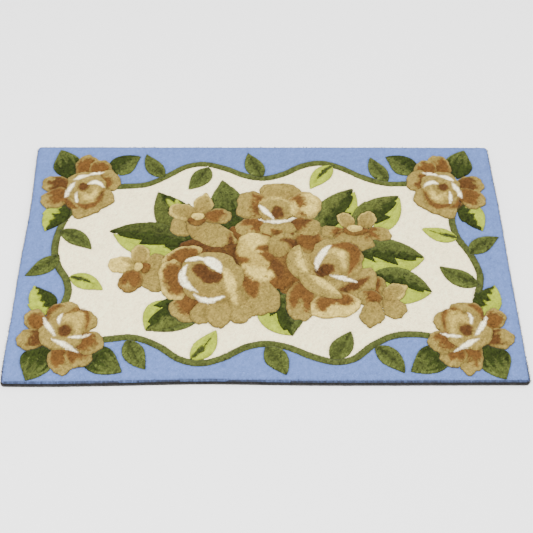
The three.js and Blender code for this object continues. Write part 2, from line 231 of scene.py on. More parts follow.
BOUQUET_LEAVES = [
    Leaf(-112, 44, -181, 140, 71, 6, 0, "dark", "left", "sage", 0.0, 0.1),
    Leaf(-128, 22, -259, 51, 54, -9, 1, "moss", "left", "dark", 0.38, 0.06),
    Leaf(-110, 34, -182, 22, 46, 0, 0, "dark", "solid"),
    Leaf(-150, 2, -252, 46, 40, 8, 0, "light", "solid", left_teeth=0.12),
    Leaf(-58, 20, -72, 168, 80, -4, 0, "mid", "base", "dark", 0.06, 0.1),
    Leaf(88, 40, 153, 148, 62, 4, 1, "sage", "right", "dark", 0.06, 0.4),
    Leaf(108, 52, 156, 142, 34, -8, 0, "light", "solid"),
    Leaf(150, 50, 231, 131, 58, 5, 1, "sage", "right", "dark", 0.06, 0.42),
    Leaf(180, 46, 232, 129, 32, -8, 0, "light", "solid"),
    Leaf(150, 4, 262, -6, 58, 6, 1, "mid", "right", "dark", 0.04, 0.62),
    Leaf(148, -12, 262, -8, 66, -6, 0, "light", "solid"),
    Leaf(172, -44, 267, -77, 50, 7, 1, "mid", "right", "dark", 0.04, 0.58),
    Leaf(180, -60, 266, -79, 54, -6, 0, "light", "solid"),
    Leaf(-116, -66, -187, -153, 64, 6, 1, "dark", "left", "sage", 0.0, 0.5),
    Leaf(-158, -94, -188, -151, 38, -2, 0, "light", "solid"),
    Leaf(-96, -112, -184, -152, 32, 5, 0, "mid", "solid"),
    Leaf(24, -56, 41, -163, 62, 0, 1, "dark", "left", "mid", 0.0, 0.44),
    Leaf(8, -84, 40, -162, 48, -12, 0, "light", "solid"),
    Leaf(40, -96, 44, -156, 30, 4, 0, "mid", "solid"),
]

# Petals are egg shapes that point outwards along turn, in degrees from +X. A patch of a second
# yarn fills them from the inner end as far as reach (-1 inner end, 1 outer end), and rim colours
# their outer edge. The outer end is round, pointed or notched.
Petal = namedtuple("Petal", "x y length width turn layer yarn patch reach rim end",
                   defaults=("tan", "rust", -1, "tan", "round"))

BACK_CORNER_PETALS = [
    Petal(-309, 200, 54, 40, 75, 0, "tan", "rust", 0.6),
    Petal(-285, 194, 40, 40, 68, 1, "tan", "rust", 0.7),
    Petal(-356, 157, 52, 39, 172, 0, "tan", "brown", 0.4),
    Petal(-355, 126, 54, 42, 226, 1, "tan", "rust", 0.45),
    Petal(-271, 165, 46, 48, 20, 1, "tan", "rust", 0.1),
    Petal(-284, 126, 54, 52, 305, 2),
    Petal(-303, 120, 74, 60, 252, 2, end="point"),
    Petal(-306, 150, 70, 68, 90, 3),
]
FRONT_CORNER_PETALS = [
    Petal(-359, -134, 46, 34, 122, 0, "tan", "rust", 0.45),
    Petal(-359, -169, 54, 38, 186, 1, "tan", "brown", 0.35),
    Petal(-313, -204, 60, 42, 280, 0, "tan", "rust", 0.4, end="point"),
    Petal(-288, -200, 46, 42, 298, 1, "tan", "rust", 0.5),
    Petal(-276, -176, 50, 44, 348, 1, "tan", "rust", 0.5),
    Petal(-317, -123, 48, 54, 98, 2),
    Petal(-288, -138, 48, 44, 50, 2),
    Petal(-316, -156, 72, 68, 250, 3),
]

BOUQUET_ROSE_PETALS = [
    # shadowed petals that show between the flowers
    Petal(-78, 6, 62, 136, 90, 0, "brown", rim="brown"),
    Petal(-44, -20, 80, 60, 90, 0, "brown", rim="brown"),
    Petal(-40, 24, 78, 56, 90, 0, "rust", rim="rust"),
    Petal(16, 40, 50, 80, 90, 0, "rust", rim="rust"),
    Petal(40, 6, 74, 56, 90, 0, "brown", rim="rust"),
    Petal(-44, -88, 40, 40, 90, 0),
    Petal(36, -56, 52, 40, 90, 0, "rust", rim="rust"),
    Petal(184, -94, 30, 34, 90, 0),
    Petal(70, -20, 70, 60, 90, 0),
    Petal(102, -58, 74, 84, 300, 0),
    Petal(100, 42, 40, 50, 90, 0),
    Petal(176, -66, 36, 40, 340, 0, "tan", "rust", 0.5),
    # rose at the back
    Petal(27, 136, 52, 68, 90, 0, end="notch"),
    Petal(-20, 108, 58, 64, 178, 1, "tan", "rust", 0.0, end="notch"),
    Petal(67, 108, 60, 62, 5, 1, "pale", "rust", -0.1),
    Petal(-21, 59, 54, 42, 200, 1, "tan", "rust", 0.35),
    Petal(66, 62, 58, 40, -12, 1, "tan", "rust", 0.1),
    Petal(22, 60, 44, 58, 270, 2, "tan", "rust", -0.9, end="point"),
    Petal(20, 95, 56, 62, 90, 3),
    # shell petal
    Petal(-92, 46, 88, 50, 334, 1, end="point"),
    # big rose at the left
    Petal(-135, -6, 40, 70, 118, 1, "tan", "rust", 0.75, "pale"),
    Petal(-146, -53, 50, 84, 188, 1, "tan", "rust", 0.7, "pale"),
    Petal(-121, -108, 60, 60, 238, 0, "tan", "rust", 0.5),
    Petal(-100, -118, 46, 36, 257, 0),
    Petal(-14, -81, 92, 68, 288, 1),
    Petal(-74, -117, 61, 41, 265, 2),
    Petal(-87, -50, 106, 102, 90, 3),
    # bud in the middle
    Petal(-15, -3, 98, 68, 95, 1, "straw"),
    Petal(27, 20, 54, 42, 60, 2),
    Petal(26, -38, 66, 46, 270, 1, "rust", rim="rust", end="point"),
    # rose at the right
    Petal(73, 31, 56, 52, 95, 0, "tan", "rust", 0.45),
    Petal(152, -62, 52, 74, 340, 1),
    Petal(57, -92, 86, 48, 262, 1, "tan", "rust", 0.5),
    Petal(110, -104, 52, 82, 280, 2, "pale", "rust", 0.25, "pale", end="notch"),
    Petal(116, -12, 86, 88, 50, 2),
    Petal(111, -24, 44, 50, 60, 3),
    # last lobe of the big rose
    Petal(-43, -111, 58, 41, 275, 1),
]

BLOSSOM_PETALS = [
    # beside the shell petal
    Petal(-134, 62, 48, 46, 190, 0),
    Petal(-104, 108, 48, 34, 80, 0, rim="pale", end="point"),
    Petal(-137, 93, 50, 36, 165, 1, rim="pale"),
    Petal(-80, 83, 50, 34, 5, 1, "tan", "rust", 0.4),
    Petal(-114, 72, 20, 30, 90, 2, "rust", rim="rust"),
    Petal(-112, 82, 16, 22, 90, 3, "pale", rim="pale"),
    # at the far left
    Petal(-204, -3, 46, 30, 92, 1, rim="pale"),
    Petal(-229, -22, 52, 34, 172, 0, "pale", "tan", -0.2, "pale"),
    Petal(-216, -54, 48, 38, 245, 1, "tan", "rust", 0.5, "rust"),
    Petal(-180, -18, 46, 36, 20, 0),
    Petal(-182, -52, 52, 40, 320, 0),
    Petal(-195, -29, 22, 18, 90, 2, "rust", rim="rust"),
    Petal(-206, -27, 18, 14, 70, 3, "pale", rim="pale"),
    # at the right
    Petal(138, 73, 38, 27, 115, 1, rim="pale"),
    Petal(172, 74, 40, 30, 62, 1, rim="pale"),
    Petal(190, 45, 44, 30, -14, 0, "tan", "rust", -0.1),
    Petal(118, 47, 50, 28, 170, 0, "tan", "rust", 0.2),
    Petal(146, 31, 50, 70, 265, 0, "tan", "rust", -0.3),
    Petal(152, 50, 20, 42, 90, 2, "rust", rim="rust"),
    Petal(151, 55, 15, 26, 90, 3, "pale", rim="pale"),
    # at the front right
    Petal(206, -79, 42, 32, 30, 2, rim="pale", end="point"),
    Petal(167, -90, 40, 32, 175, 1, "tan", "rust", 0.4),
    Petal(168, -121, 48, 38, 255, 2, end="point"),
    Petal(203, -109, 44, 36, 300, 1),
]

# Blades lie along an arc through three points, tapered at both ends. Folds are carved.
Blade = namedtuple("Blade", "start_x start_y mid_x mid_y end_x end_y width layer yarn")

BOUQUET_FOLDS = [
    Blade(58, 21, 51, -22, 78, -64, 31, 3, "tan"),
    Blade(55, -42, 84, -66, 123, -91, 34, 3.1, "tan"),
]

# Dyed marks change the yarn alone, softly, over the forms below their layer
BACK_CORNER_MARKS = [
    Blade(-322, 115, -294, 105, -274, 145, 14, 3.1, "rust"),
    Blade(-339, 127, -332, 111, -314, 98, 11.5, 3.1, "rust"),
    Blade(-316, 138, -297, 119, -286, 150, 13, 3.2, "straw"),
    Blade(-308, 132, -295, 124, -289, 140, 9, 3.2, "pale"),
    Blade(-325, 159, -333, 143, -339, 124, 8, 3.5, "white"),
    Blade(-328, 163, -317, 170, -303, 174, 7, 3.5, "white"),
    Blade(-302, 175, -291, 180, -278, 183, 6, 3.5, "white"),
    Blade(-302, 154, -288, 158, -275, 147, 7, 3.5, "white"),
    Blade(-319, 137, -320, 124, -317, 111, 4.5, 3.5, "white"),
]
FRONT_CORNER_MARKS = [
    Blade(-342, -138, -336, -114, -318, -108, 11, 3.1, "rust"),
    Blade(-316, -124, -286, -119, -280, -158, 13, 3.1, "rust"),
    Blade(-318, -142, -296, -128, -292, -162, 20, 3.2, "straw"),
    Blade(-347, -130, -338, -148, -325, -167, 7, 3.5, "white"),
    Blade(-319, -122, -323, -132, -321, -144, 4.5, 3.5, "white"),
    Blade(-304, -169, -288, -167, -271, -162, 5, 3.5, "white"),
    Blade(-330, -173, -310, -183, -288, -196, 7, 3.5, "white"),
    Blade(-298, -124, -288, -130, -284, -142, 5, 3.15, "brown"),
]
BOUQUET_MARKS = [
    # light notch in the leaf at the upper left
    Blade(-166, 121, -153, 107, -136, 92, 10, -1.2, "light"),
    Blade(-148, 122, -146, 108, -136, 92, 10, -1.2, "light"),
    # rose at the back
    Blade(40, 70, 60, 68, 82, 74, 15, 1.4, "brown"),
    Blade(-38, 72, -22, 68, -4, 58, 12, 1.4, "rust"),
    Blade(10, 52, 20, 46, 30, 50, 12, 2.4, "rust"),
    Blade(-6, 114, 18, 124, 42, 113, 5, 3.2, "pale"),
    Blade(44, 116, 52, 100, 46, 82, 11, 3.2, "pale"),
    Blade(-9, 107, 1, 93, 16, 75, 7, 3.5, "white"),
    Blade(-9, 75, 22, 69, 53, 79, 4.8, 3.5, "white"),
    # big rose at the left
    Blade(-56, 44, -54, 10, -40, -30, 14, 1.2, "brown"),
    Blade(-32, -30, -24, -62, -18, -94, 28, 1.2, "rust"),
    Blade(-66, -30, -58, -60, -46, -104, 17, 3.2, "pale"),
    Blade(-129, -17, -113, -12, -96, -15, 8, 3.5, "white"),
    Blade(-103, -14, -85, -21, -72, -42, 18, 3.5, "white"),
    Blade(-127, -25, -133, -55, -108, -81, 12, 3.5, "white"),
    Blade(-114, -85, -93, -97, -66, -89, 8, 3.5, "white"),
    # bud in the middle
    Blade(-38, 26, -18, 30, -6, -8, 32, 1.2, "pale"),
    Blade(-34, -24, -8, -44, 18, -36, 26, 1.2, "pale"),
    Blade(-46, -4, -36, -14, -24, -10, 14, 1.3, "rust"),
    Blade(-16, 6, 0, 12, 16, 4, 14, 1.3, "rust"),
    Blade(-12, 0, 8, -8, 14, -26, 20, 1.3, "rust"),
    Blade(24, 28, 48, 20, 45, -8, 19, 2.2, "brown"),
    Blade(12, -12, 20, -30, 24, -54, 22, 1.3, "brown"),
    # rose at the right
    Blade(59, 14, 59, -20, 76, -54, 13, 3.05, "pale"),
    Blade(72, -46, 94, -63, 118, -86, 15, 3.2, "pale"),
    Blade(103, 12, 146, 7, 134, -45, 23, 2.2, "rust"),
    Blade(114, -76, 142, -68, 170, -47, 17, 2.2, "brown"),
    Blade(100, 0, 123, 0, 127, -30, 12, 3.2, "pale"),
    Blade(109, 16, 90, -8, 84, -34, 10.5, 3.5, "white"),
    Blade(104, -46, 124, -51, 147, -60, 6.5, 3.5, "white"),
]

# Dyed hearts, at the middle of each rose, are marks with a petal's outline
CORNER_HEARTS = [
    Petal(-309, 147, 19, 19, 90, 3.4, "umber"),
    Petal(-312, -157, 24, 21, 90, 3.4, "umber"),
]
BOUQUET_HEARTS = [
    Petal(22, 89, 30, 21, 270, 3.4, "umber"),
    Petal(-88, -50, 30, 40, 75, 3.4, "umber"),
    Petal(-105, -37, 28, 26, 100, 3.4, "umber"),
    Petal(97, -35, 34, 24, 205, 3.4, "umber"),
]


def linear(code):
    """A colour code as linear light."""
    parts = np.array([int(code[i:i + 2], 16) / 255 for i in (1, 3, 5)])
    return np.where(parts <= 0.04045, parts / 12.92, ((parts + 0.055) / 1.055) ** 2.4)


DYE = {name: linear(code) for name, code in YARN.items()}


def smooth(share):
    """A soft step from 0 to 1."""
    share = np.clip(share, 0, 1)
    return share * share * (3 - 2 * share)


def lumps(points, size, seed):
    """Smooth noise from -1 to 1 over the plane, with lumps of about this size."""
    grid = np.random.default_rng(seed).uniform(-1, 1, (128, 128))
    place = points / size + 500
    cell = np.floor(place).astype(int)
    part = smooth(place - cell)
    x, y = cell[:, 0] % 128, cell[:, 1] % 128
    x1, y1 = (x + 1) % 128, (y + 1) % 128
    near = grid[x, y] * (1 - part[:, 0]) + grid[x1, y] * part[:, 0]
    far = grid[x, y1] * (1 - part[:, 0]) + grid[x1, y1] * part[:, 0]
    return near * (1 - part[:, 1]) + far * part[:, 1]


def teeth(along, count, seed):
    """An uneven saw edge from -1 to 1 along a run from 0 to 1."""
    step = along * count
    index = np.floor(step).astype(int)
    height = np.random.default_rng(seed).uniform(0.55, 1.0, 64)[index % 64]
    return height * (1 - 4 * np.abs(step - index - 0.5))


def spline(route, spacing):
    """Evenly spaced points on a smooth curve through a route."""
    ends = np.array(route, float)
    ends = np.vstack([2 * ends[0] - ends[1], ends, 2 * ends[-1] - ends[-2]])
    share = np.linspace(0, 1, 12, endpoint=False)[:, None]
    curve = []
    for a, b, c, d in zip(ends, ends[1:], ends[2:], ends[3:]):
        curve.append(0.5 * (2 * b + (c - a) * share + (2 * a - 5 * b + 4 * c - d) * share ** 2
                            + (3 * b - a - 3 * c + d) * share ** 3))
    curve = np.vstack(curve + [ends[-2:-1]])
    run = np.r_[0, np.cumsum(np.linalg.norm(np.diff(curve, axis=0), axis=1))]
    places = np.linspace(0, run[-1], max(3, round(run[-1] / spacing) + 1))
    return np.column_stack([np.interp(places, run, curve[:, k]) for k in (0, 1)])


def band(centres, left, right):
    """The outline of a band along a centre line, by its half widths to the left and right."""
    way = np.gradient(centres, axis=0)
    way /= np.linalg.norm(way, axis=1)[:, None]
    across = np.column_stack([-way[:, 1], way[:, 0]])
    right_side = (centres - across * right[:, None])[right > 0]
    return np.vstack([right_side, (centres + across * left[:, None])[::-1]])


def outline_distance(points, outline):
    """Distances from a closed outline, positive inside, and the nearest points on it."""
    distance = np.empty(len(points))
    nearest = np.empty((len(points), 2))
    start = outline
    way = np.roll(outline, -1, axis=0) - start
    size = (way ** 2).sum(1)
    rise = np.where(way[:, 1] == 0, 1e-12, way[:, 1])
    for first in range(0, len(points), 20000):
        some = points[first:first + 20000]
        offset = some[:, None] - start
        share = np.clip((offset * way).sum(2) / size, 0, 1)
        foot = start + share[..., None] * way
        gap = ((some[:, None] - foot) ** 2).sum(2)
        best = gap.argmin(1)
        row = np.arange(len(some))
        crosses = (start[:, 1] > some[:, 1:]) != (start[:, 1] + way[:, 1] > some[:, 1:])
        before = some[:, :1] < start[:, 0] + way[:, 0] * offset[..., 1] / rise
        within = (crosses & before).sum(1) % 2 == 1
        distance[first:first + 20000] = np.sqrt(gap[row, best]) * np.where(within, 1, -1)
        nearest[first:first + 20000] = foot[row, best]
    return distance, nearest


def wander(waves, along):
    """How far an edge stands out at one place along it."""
    return sum(wave.reach * np.exp(-((along - wave.at) / wave.spread) ** 2) for wave in waves)


def mat_outline(inset, spacing=3.0):
    """The mat's outline: a rounded rectangle whose edges wander."""
    half = np.array([LENGTH, DEPTH]) / 2 - inset
    runs = []
    for corner, sign in enumerate([(1, -1), (1, 1), (-1, 1), (-1, -1)]):
        centre = np.array(sign) * (half - CORNER_RADIUS)
        angle = (corner - 1) * math.pi / 2 + np.linspace(0, math.pi / 2, 7)
        runs.append(centre + CORNER_RADIUS * np.column_stack([np.cos(angle), np.sin(angle)]))
    line = []
    for run, following in zip(runs, runs[1:] + runs[:1]):
        count = int(np.linalg.norm(following[0] - run[-1]) / spacing)
        share = np.linspace(0, 1, count, endpoint=False)[1:, None]
        line += [run, run[-1] * (1 - share) + following[0] * share]
    line = np.vstack(line)
    x, y = line.T
    at_side = (np.abs(x) / (LENGTH / 2)) ** WANDER_FADE
    at_end = (np.abs(y) / (DEPTH / 2)) ** WANDER_FADE
    out_x = np.where(x > 0, wander(EDGE_WANDER["right"], y), -wander(EDGE_WANDER["left"], y))
    out_y = np.where(y > 0, wander(EDGE_WANDER["back"], x), -wander(EDGE_WANDER["front"], x))
    return np.column_stack([x + at_side * out_x, y + at_end * out_y])


def leaf_axis(leaf):
    """A leaf's base, the directions along and across it, and its length."""
    base = np.array([leaf.base_x, leaf.base_y], float)
    way = np.array([leaf.tip_x, leaf.tip_y]) - base
    size = np.linalg.norm(way)
    return base, way / size, np.array([-way[1], way[0]]) / size, size


def leaf_half(leaf, share):
    """Half a leaf's width, by the share of the way to its tip."""
    share = np.clip(share, 0, 1)
    return 0.5 * leaf.width * np.sin(np.pi * share ** 0.8) ** 0.9


def leaf_outline(leaf):
    """The outline of a leaf, bent along its rib, with its teeth."""
    base, way, across, size = leaf_axis(leaf)
    share = np.linspace(0, 1, 45)
    arch = 4 * share * (1 - share)
    centres = base + share[:, None] * size * way + leaf.bend * arch[:, None] * across
    halves = leaf_half(leaf, share)
    halves[[0, -1]] = 0
    notch = 1 - (share * LEAF_TEETH + 0.35) % 1
    notch *= smooth(share / 0.25) * smooth((1 - share) / 0.12)
    outline = band(centres, halves * (1 - leaf.left_teeth * notch),
                   halves * (1 - leaf.right_teeth * notch))
    sweep = TOOTH_SWEEP * halves * (1 - notch)
    forward = np.concatenate([leaf.right_teeth * sweep[1:-1], leaf.left_teeth * sweep[::-1]])
    return outline + forward[:, None] * way


def leaf_place(leaf, points):
    """Shares along a leaf and across it, from -1 at its right edge to 1 at its left."""
    base, way, across, size = leaf_axis(leaf)
    offset = points - base
    share = offset @ way / size
    side = offset @ across - leaf.bend * 4 * share * (1 - share)
    return share, side / np.maximum(leaf_half(leaf, share), 0.5)


def petal_outline(petal, index):
    """The rippled outline of a petal; index sets its own ripple."""
    turn = math.radians(petal.turn)
    angle = np.linspace(-np.pi, np.pi, 60, endpoint=False)
    ripple = 1 + 0.03 * np.sin(3 * angle + index) + 0.034 * np.sin(5 * angle + 2.3 * index)
    ripple += 0.024 * np.sin(9 * angle + 1.7 * index) + 0.014 * np.sin(14 * angle + 0.9 * index)
    if petal.end == "point":
        ripple += 0.24 * np.exp(-(angle / 0.28) ** 2) - 0.08 * np.exp(-(angle / 0.8) ** 2)
    elif petal.end == "notch":
        ripple -= 0.12 * np.exp(-(angle / 0.28) ** 2)
    out = 0.5 * petal.length * np.cos(angle) * ripple
    side = 0.5 * petal.width * np.sin(angle) * (1 + 0.16 * np.cos(angle)) * ripple
    return np.column_stack([petal.x + out * math.cos(turn) - side * math.sin(turn),
                            petal.y + out * math.sin(turn) + side * math.cos(turn)])


def petal_place(petal, points):
    """Shares outwards and across a petal, each from -1 to 1."""
    turn = math.radians(petal.turn)
    offset = points - (petal.x, petal.y)
    out = offset @ (math.cos(turn), math.sin(turn))
    side = offset @ (-math.sin(turn), math.cos(turn))
    return out / (0.5 * petal.length), side / (0.5 * petal.width)


def blade_outline(blade):
    """The outline of a blade: an arc through three points, tapered at both ends."""
    start = np.array([blade.start_x, blade.start_y], float)
    end = np.array([blade.end_x, blade.end_y], float)
    bend = 2 * np.array([blade.mid_x, blade.mid_y]) - (start + end) / 2
    share = np.linspace(0, 1, 25)[:, None]
    centres = (1 - share) ** 2 * start + 2 * share * (1 - share) * bend + share ** 2 * end
    halves = 0.5 * blade.width * np.sin(np.pi * share[:, 0]) ** 0.7
    halves[[0, -1]] = 0
    return band(centres, halves, halves)


def mix(first, second, share):
    """Rows of colours between the first and the second, by each row's share of the second."""
    return first + (np.asarray(second) - first) * np.reshape(share, (-1, 1))


def paint_leaf(leaf, points, seed):
    """Yarn colours over a leaf."""
    share, side = leaf_place(leaf, points)
    saw = teeth(np.clip(share, 0, 1), 5, seed)
    rough = lumps(points, 3.0, seed + 1)
    if leaf.style == "plain":
        depth = 0.5 * (0.9 - share) + 0.16 * saw + 0.12 * rough - np.abs(side + 0.1)
    elif leaf.style == "ribbed":
        depth = 0.6 * (0.76 - share) + 0.04 * saw - np.abs(side)
    elif leaf.style == "left":
        depth = side + 0.3 * (0.5 - share) + 0.22 * saw
    elif leaf.style == "right":
        depth = -side + 0.3 * (0.5 - share) + 0.22 * saw
    elif leaf.style == "base":
        depth = 1.6 * (0.56 - share + 0.2 * teeth(0.5 + side / 2, 4, seed) + 0.05 * rough)
    else:
        depth = np.full(len(points), -1.0)
    veins = lumps(np.column_stack([share * 9 - np.abs(side) * 2.4, side * 1.3]), 1.0, seed + 3)
    mottle = 1 + 0.15 * veins + 0.05 * rough
    edge = smooth((np.abs(side) - 0.45) / 0.5)
    yarn = mix(DYE[leaf.yarn], 1.35 * DYE[leaf.yarn], 0.0 if leaf.yarn == "light" else edge)
    colour = mix(yarn, DYE[leaf.second], smooth(0.5 + (depth + 0.1 * rough + 0.1 * veins) / 0.26))
    half = np.maximum(leaf_half(leaf, share), 0.5)
    rib = np.exp(-(side * half / RIB_WIDTH) ** 2) * smooth((0.96 - share) / 0.3)
    return colour * (mottle * (1 - 0.22 * rib))[:, None]


def dent_leaf(leaf, points):
    """A leaf's rib groove."""
    share, side = leaf_place(leaf, points)
    half = np.maximum(leaf_half(leaf, share), 0.5)
    return -RIB_GROOVE * np.exp(-(side * half / RIB_WIDTH) ** 2) * smooth((0.96 - share) / 0.3)


def paint_petal(petal, points, seed):
    """Yarn colours over a petal: its body, the patch at its inner end, and its rim."""
    out, side = petal_place(petal, points)
    around = np.sqrt(out ** 2 + side ** 2)
    saw = lumps(np.column_stack([out * 0.7, side * 3.6 / (1.5 + 0.5 * out)]), 1.0, seed)
    rough = lumps(points, 3.2, seed + 1)
    wide = lumps(points, 13, seed + 2)
    colour = DYE[petal.yarn] * (0.98 + 0.06 * out[:, None] + 0.06 * wide[:, None])
    hollow = 0.34 * smooth((0.25 - out + 0.25 * wide + 0.2 * saw) / 0.9)
    colour = mix(colour, DYE["gold"], hollow)
    if petal.reach > -1:
        depth = petal.reach + 0.38 * saw + 0.2 * rough + 0.1 * wide - out
        depth = np.minimum(depth, 0.88 + 0.08 * rough - around)
        colour = mix(colour, DYE[petal.patch], smooth(0.5 + depth / 0.5))
    rim = smooth((around - 0.7 - 0.08 * rough) / 0.22) * smooth((out + 0.6) / 0.5)
    return mix(colour, DYE[petal.rim], 0.6 * rim)


def dent_petal(petal, points):
    """A petal's slight rise towards its outer end."""
    return PETAL_TILT * petal_place(petal, points)[0]


def paint_plain(yarn, points):
    """One yarn colour, with faint wide patches."""
    return DYE[yarn] * (1 + 0.05 * lumps(points, 12, 77)[:, None])


# Forms and marks: marks have no piece of their own, and blend in over a soft width
Form = namedtuple("Form", "piece kind outline top paint dent carved soft", defaults=(0.0,))
MARK_SOFTNESS = {"white": 4.2, "light": 4.2, "umber": 6.0, "rust": 6.5, "brown": 7.0, "pale": 11.0,
                 "straw": 11.0}


def mirrored(row):
    """The same row for the right-hand corner."""
    flips = {name: -getattr(row, name) for name in row._fields if name.endswith("x")}
    if "turn" in row._fields:
        flips["turn"] = 180 - row.turn
    if "bend" in row._fields:
        flips["bend"] = -row.bend
    if getattr(row, "style", "") in ("left", "right"):
        flips["style"] = "right" if row.style == "left" else "left"
    return row._replace(**flips)


def with_mirror(table):
    """Rows for the left-hand corner, then the same rows for the right-hand one."""
    return table + [mirrored(row) for row in table]


def carved_forms():
    """Every carved form and dyed mark, lowest first."""
    forms = []

    def add(form):
        forms.append(form)

    for route in VINE_ROUTES.values():
        centres = spline(route, 4.0)
        halves = np.full(len(centres), VINE_WIDTH / 2)
        halves += 0.35 * lumps(centres, 30, 11)
        add(Form("vine", "vine", band(centres, halves, halves), GROUND_TOP + VINE_RISE,
                 lambda points: paint_plain("stem", points), None, True))
    leaf_tables = {
        "vine_leaves": VINE_LEAVES,
        "corner_leaves": with_mirror(BACK_CORNER_LEAVES + FRONT_CORNER_LEAVES),
        "bouquet_leaves": BOUQUET_LEAVES,
    }
    for piece, table in leaf_tables.items():
        for index, leaf in enumerate(table):
            add(Form(piece, "leaf", leaf_outline(leaf),
                     GROUND_TOP + LEAF_RISE + leaf.layer * LAYER_STEP,
                     lambda points, leaf=leaf, seed=50 + index: paint_leaf(leaf, points, seed),
                     lambda points, leaf=leaf: dent_leaf(leaf, points), True))
    petal_tables = {
        "corner_roses": with_mirror(BACK_CORNER_PETALS) + with_mirror(FRONT_CORNER_PETALS),
        "bouquet_roses": BOUQUET_ROSE_PETALS,
        "blossoms": BLOSSOM_PETALS,
    }
    for piece, table in petal_tables.items():
        for index, petal in enumerate(table):
            add(Form(piece, "petal", petal_outline(petal, index),
                     GROUND_TOP + PETAL_RISE + petal.layer * LAYER_STEP,
                     lambda points, petal=petal, seed=90 + index: paint_petal(petal, points, seed),
                     lambda points, petal=petal: dent_petal(petal, points), True))
    for fold in BOUQUET_FOLDS:
        add(Form("bouquet_roses", "petal", blade_outline(fold),
                 GROUND_TOP + PETAL_RISE + fold.layer * LAYER_STEP,
                 lambda points, fold=fold: paint_plain(fold.yarn, points), None, True))
    marks = with_mirror(BACK_CORNER_MARKS + FRONT_CORNER_MARKS) + BOUQUET_MARKS
    hearts = with_mirror(CORNER_HEARTS) + BOUQUET_HEARTS
    outlines = [blade_outline(mark) for mark in marks]
    outlines += [petal_outline(heart, index) for index, heart in enumerate(hearts)]
    for mark, outline in zip(marks + hearts, outlines):
        add(Form("", "mark", outline, GROUND_TOP + PETAL_RISE + mark.layer * LAYER_STEP,
                 lambda points, mark=mark: paint_plain(mark.yarn, points), None, False,
                 MARK_SOFTNESS[mark.yarn]))
    return sorted(forms, key=lambda form: form.top)


def field_outline():
    """The cream field's outline: the vine's middle lines, joined under the corner roses."""
    lines = {name: spline(route, 6.0) for name, route in VINE_ROUTES.items()}
    return np.vstack([lines["back"], lines["right"], lines["front"][::-1], lines["left"][::-1]])


# Ground owners come before the forms' own numbers
BORDER, FIELD = -2, -1

# How far past its outline a form shades or drops the pile, and a distance beyond all of that
FORM_REACH = 14.0
FAR = 99.0


def lay_forms(forms, points, field, paint=False):
    """For each point: the form that tops it, its distance from the nearest outline, how far the
    shears dent it, and its yarn colour with painted shade along carved lines. Field says which
    points lie on the cream field."""
    owner = np.where(field, FIELD, BORDER)
    near = np.full(len(points), FAR)
    foot = np.full(len(points), FAR)
    # how strongly the line shading shows, less on a form that borders the ground
    crisp = np.full(len(points), GROUND_SHARE)
    dent = np.zeros(len(points))
    colour = np.where(field[:, None], DYE["cream"], DYE["blue"])
    for index, form in enumerate(forms):
        low, high = form.outline.min(0) - FORM_REACH, form.outline.max(0) + FORM_REACH
        idx = np.nonzero(((points > low) & (points < high)).all(1))[0]
        distance, _ = outline_distance(points[idx], form.outline)
        within = idx[distance > 0]
        if form.carved:
            near[idx] = np.where(distance > 0, distance, np.minimum(near[idx], -distance))
            foot[idx] = np.where(distance > 0, FAR, np.minimum(foot[idx], -distance))
            crisp[within] = np.where(owner[within] < 0, GROUND_SHARE, 1)
            owner[within] = index
            dent[within] = form.dent(points[within]) if form.dent else 0
            if paint:
                colour[within] = form.paint(points[within])
        elif paint:
            rough = 0.2 * lumps(points[idx], 2.6, 31) + 0.16 * lumps(points[idx], 6.5, 32)
            share = smooth(0.5 + distance / form.soft + rough)
            some = share > 0
            blend = mix(colour[idx[some]], form.paint(points[idx[some]]), share[some])
            colour[idx[some]] = blend
    if paint:
        # painted shade along carved lines, and painted shadow on lower pile beside a higher form
        shade = LINE_SHADE * np.exp(-(near / LINE_WIDTH) ** 2)
        shade += FOOT_SHADE * np.exp(-(foot / FOOT_WIDTH) ** 2)
        colour = colour * (1 - (crisp * shade)[:, None])
    return owner, near, dent, colour


def hex_cells():
    """Tuft centres, and the corners that they share, as rows of six."""
    row_step = TUFT_PITCH * math.sqrt(3) / 2
    columns = int(LENGTH / 2 / TUFT_PITCH) + 3
    rows = int(DEPTH / 2 / row_step) + 3
    j, i = np.meshgrid(np.arange(-rows, rows + 1), np.arange(-columns, columns + 1), indexing="ij")
    centres = np.column_stack([(i * TUFT_PITCH + (j % 2) * TUFT_PITCH / 2).ravel(),
                               (j * row_step).ravel()])
    rim = mat_outline(PILE_INSET)
    inside = outline_distance(centres, rim)[0] > 0.3 * TUFT_PITCH
    centres = centres[inside]
    angle = np.radians(30 + 60 * np.arange(6))
    spokes = TUFT_PITCH / math.sqrt(3) * np.column_stack([np.cos(angle), np.sin(angle)])
    corners = (centres[:, None] + spokes).reshape(-1, 2)
    key = np.round(corners / (TUFT_PITCH / 2, TUFT_PITCH / math.sqrt(3) / 2)).astype(int)
    _, first, ids = np.unique(key, axis=0, return_index=True, return_inverse=True)
    return centres, corners[first], ids.reshape(-1, 6), rim


def fan_areas(centres, corners, cells):
    """Areas of the six triangles of each tuft, below 0 where one is turned over."""
    a = corners[cells] - centres[:, None]
    b = np.roll(a, -1, axis=1)
    return 0.5 * (a[..., 0] * b[..., 1] - a[..., 1] * b[..., 0])


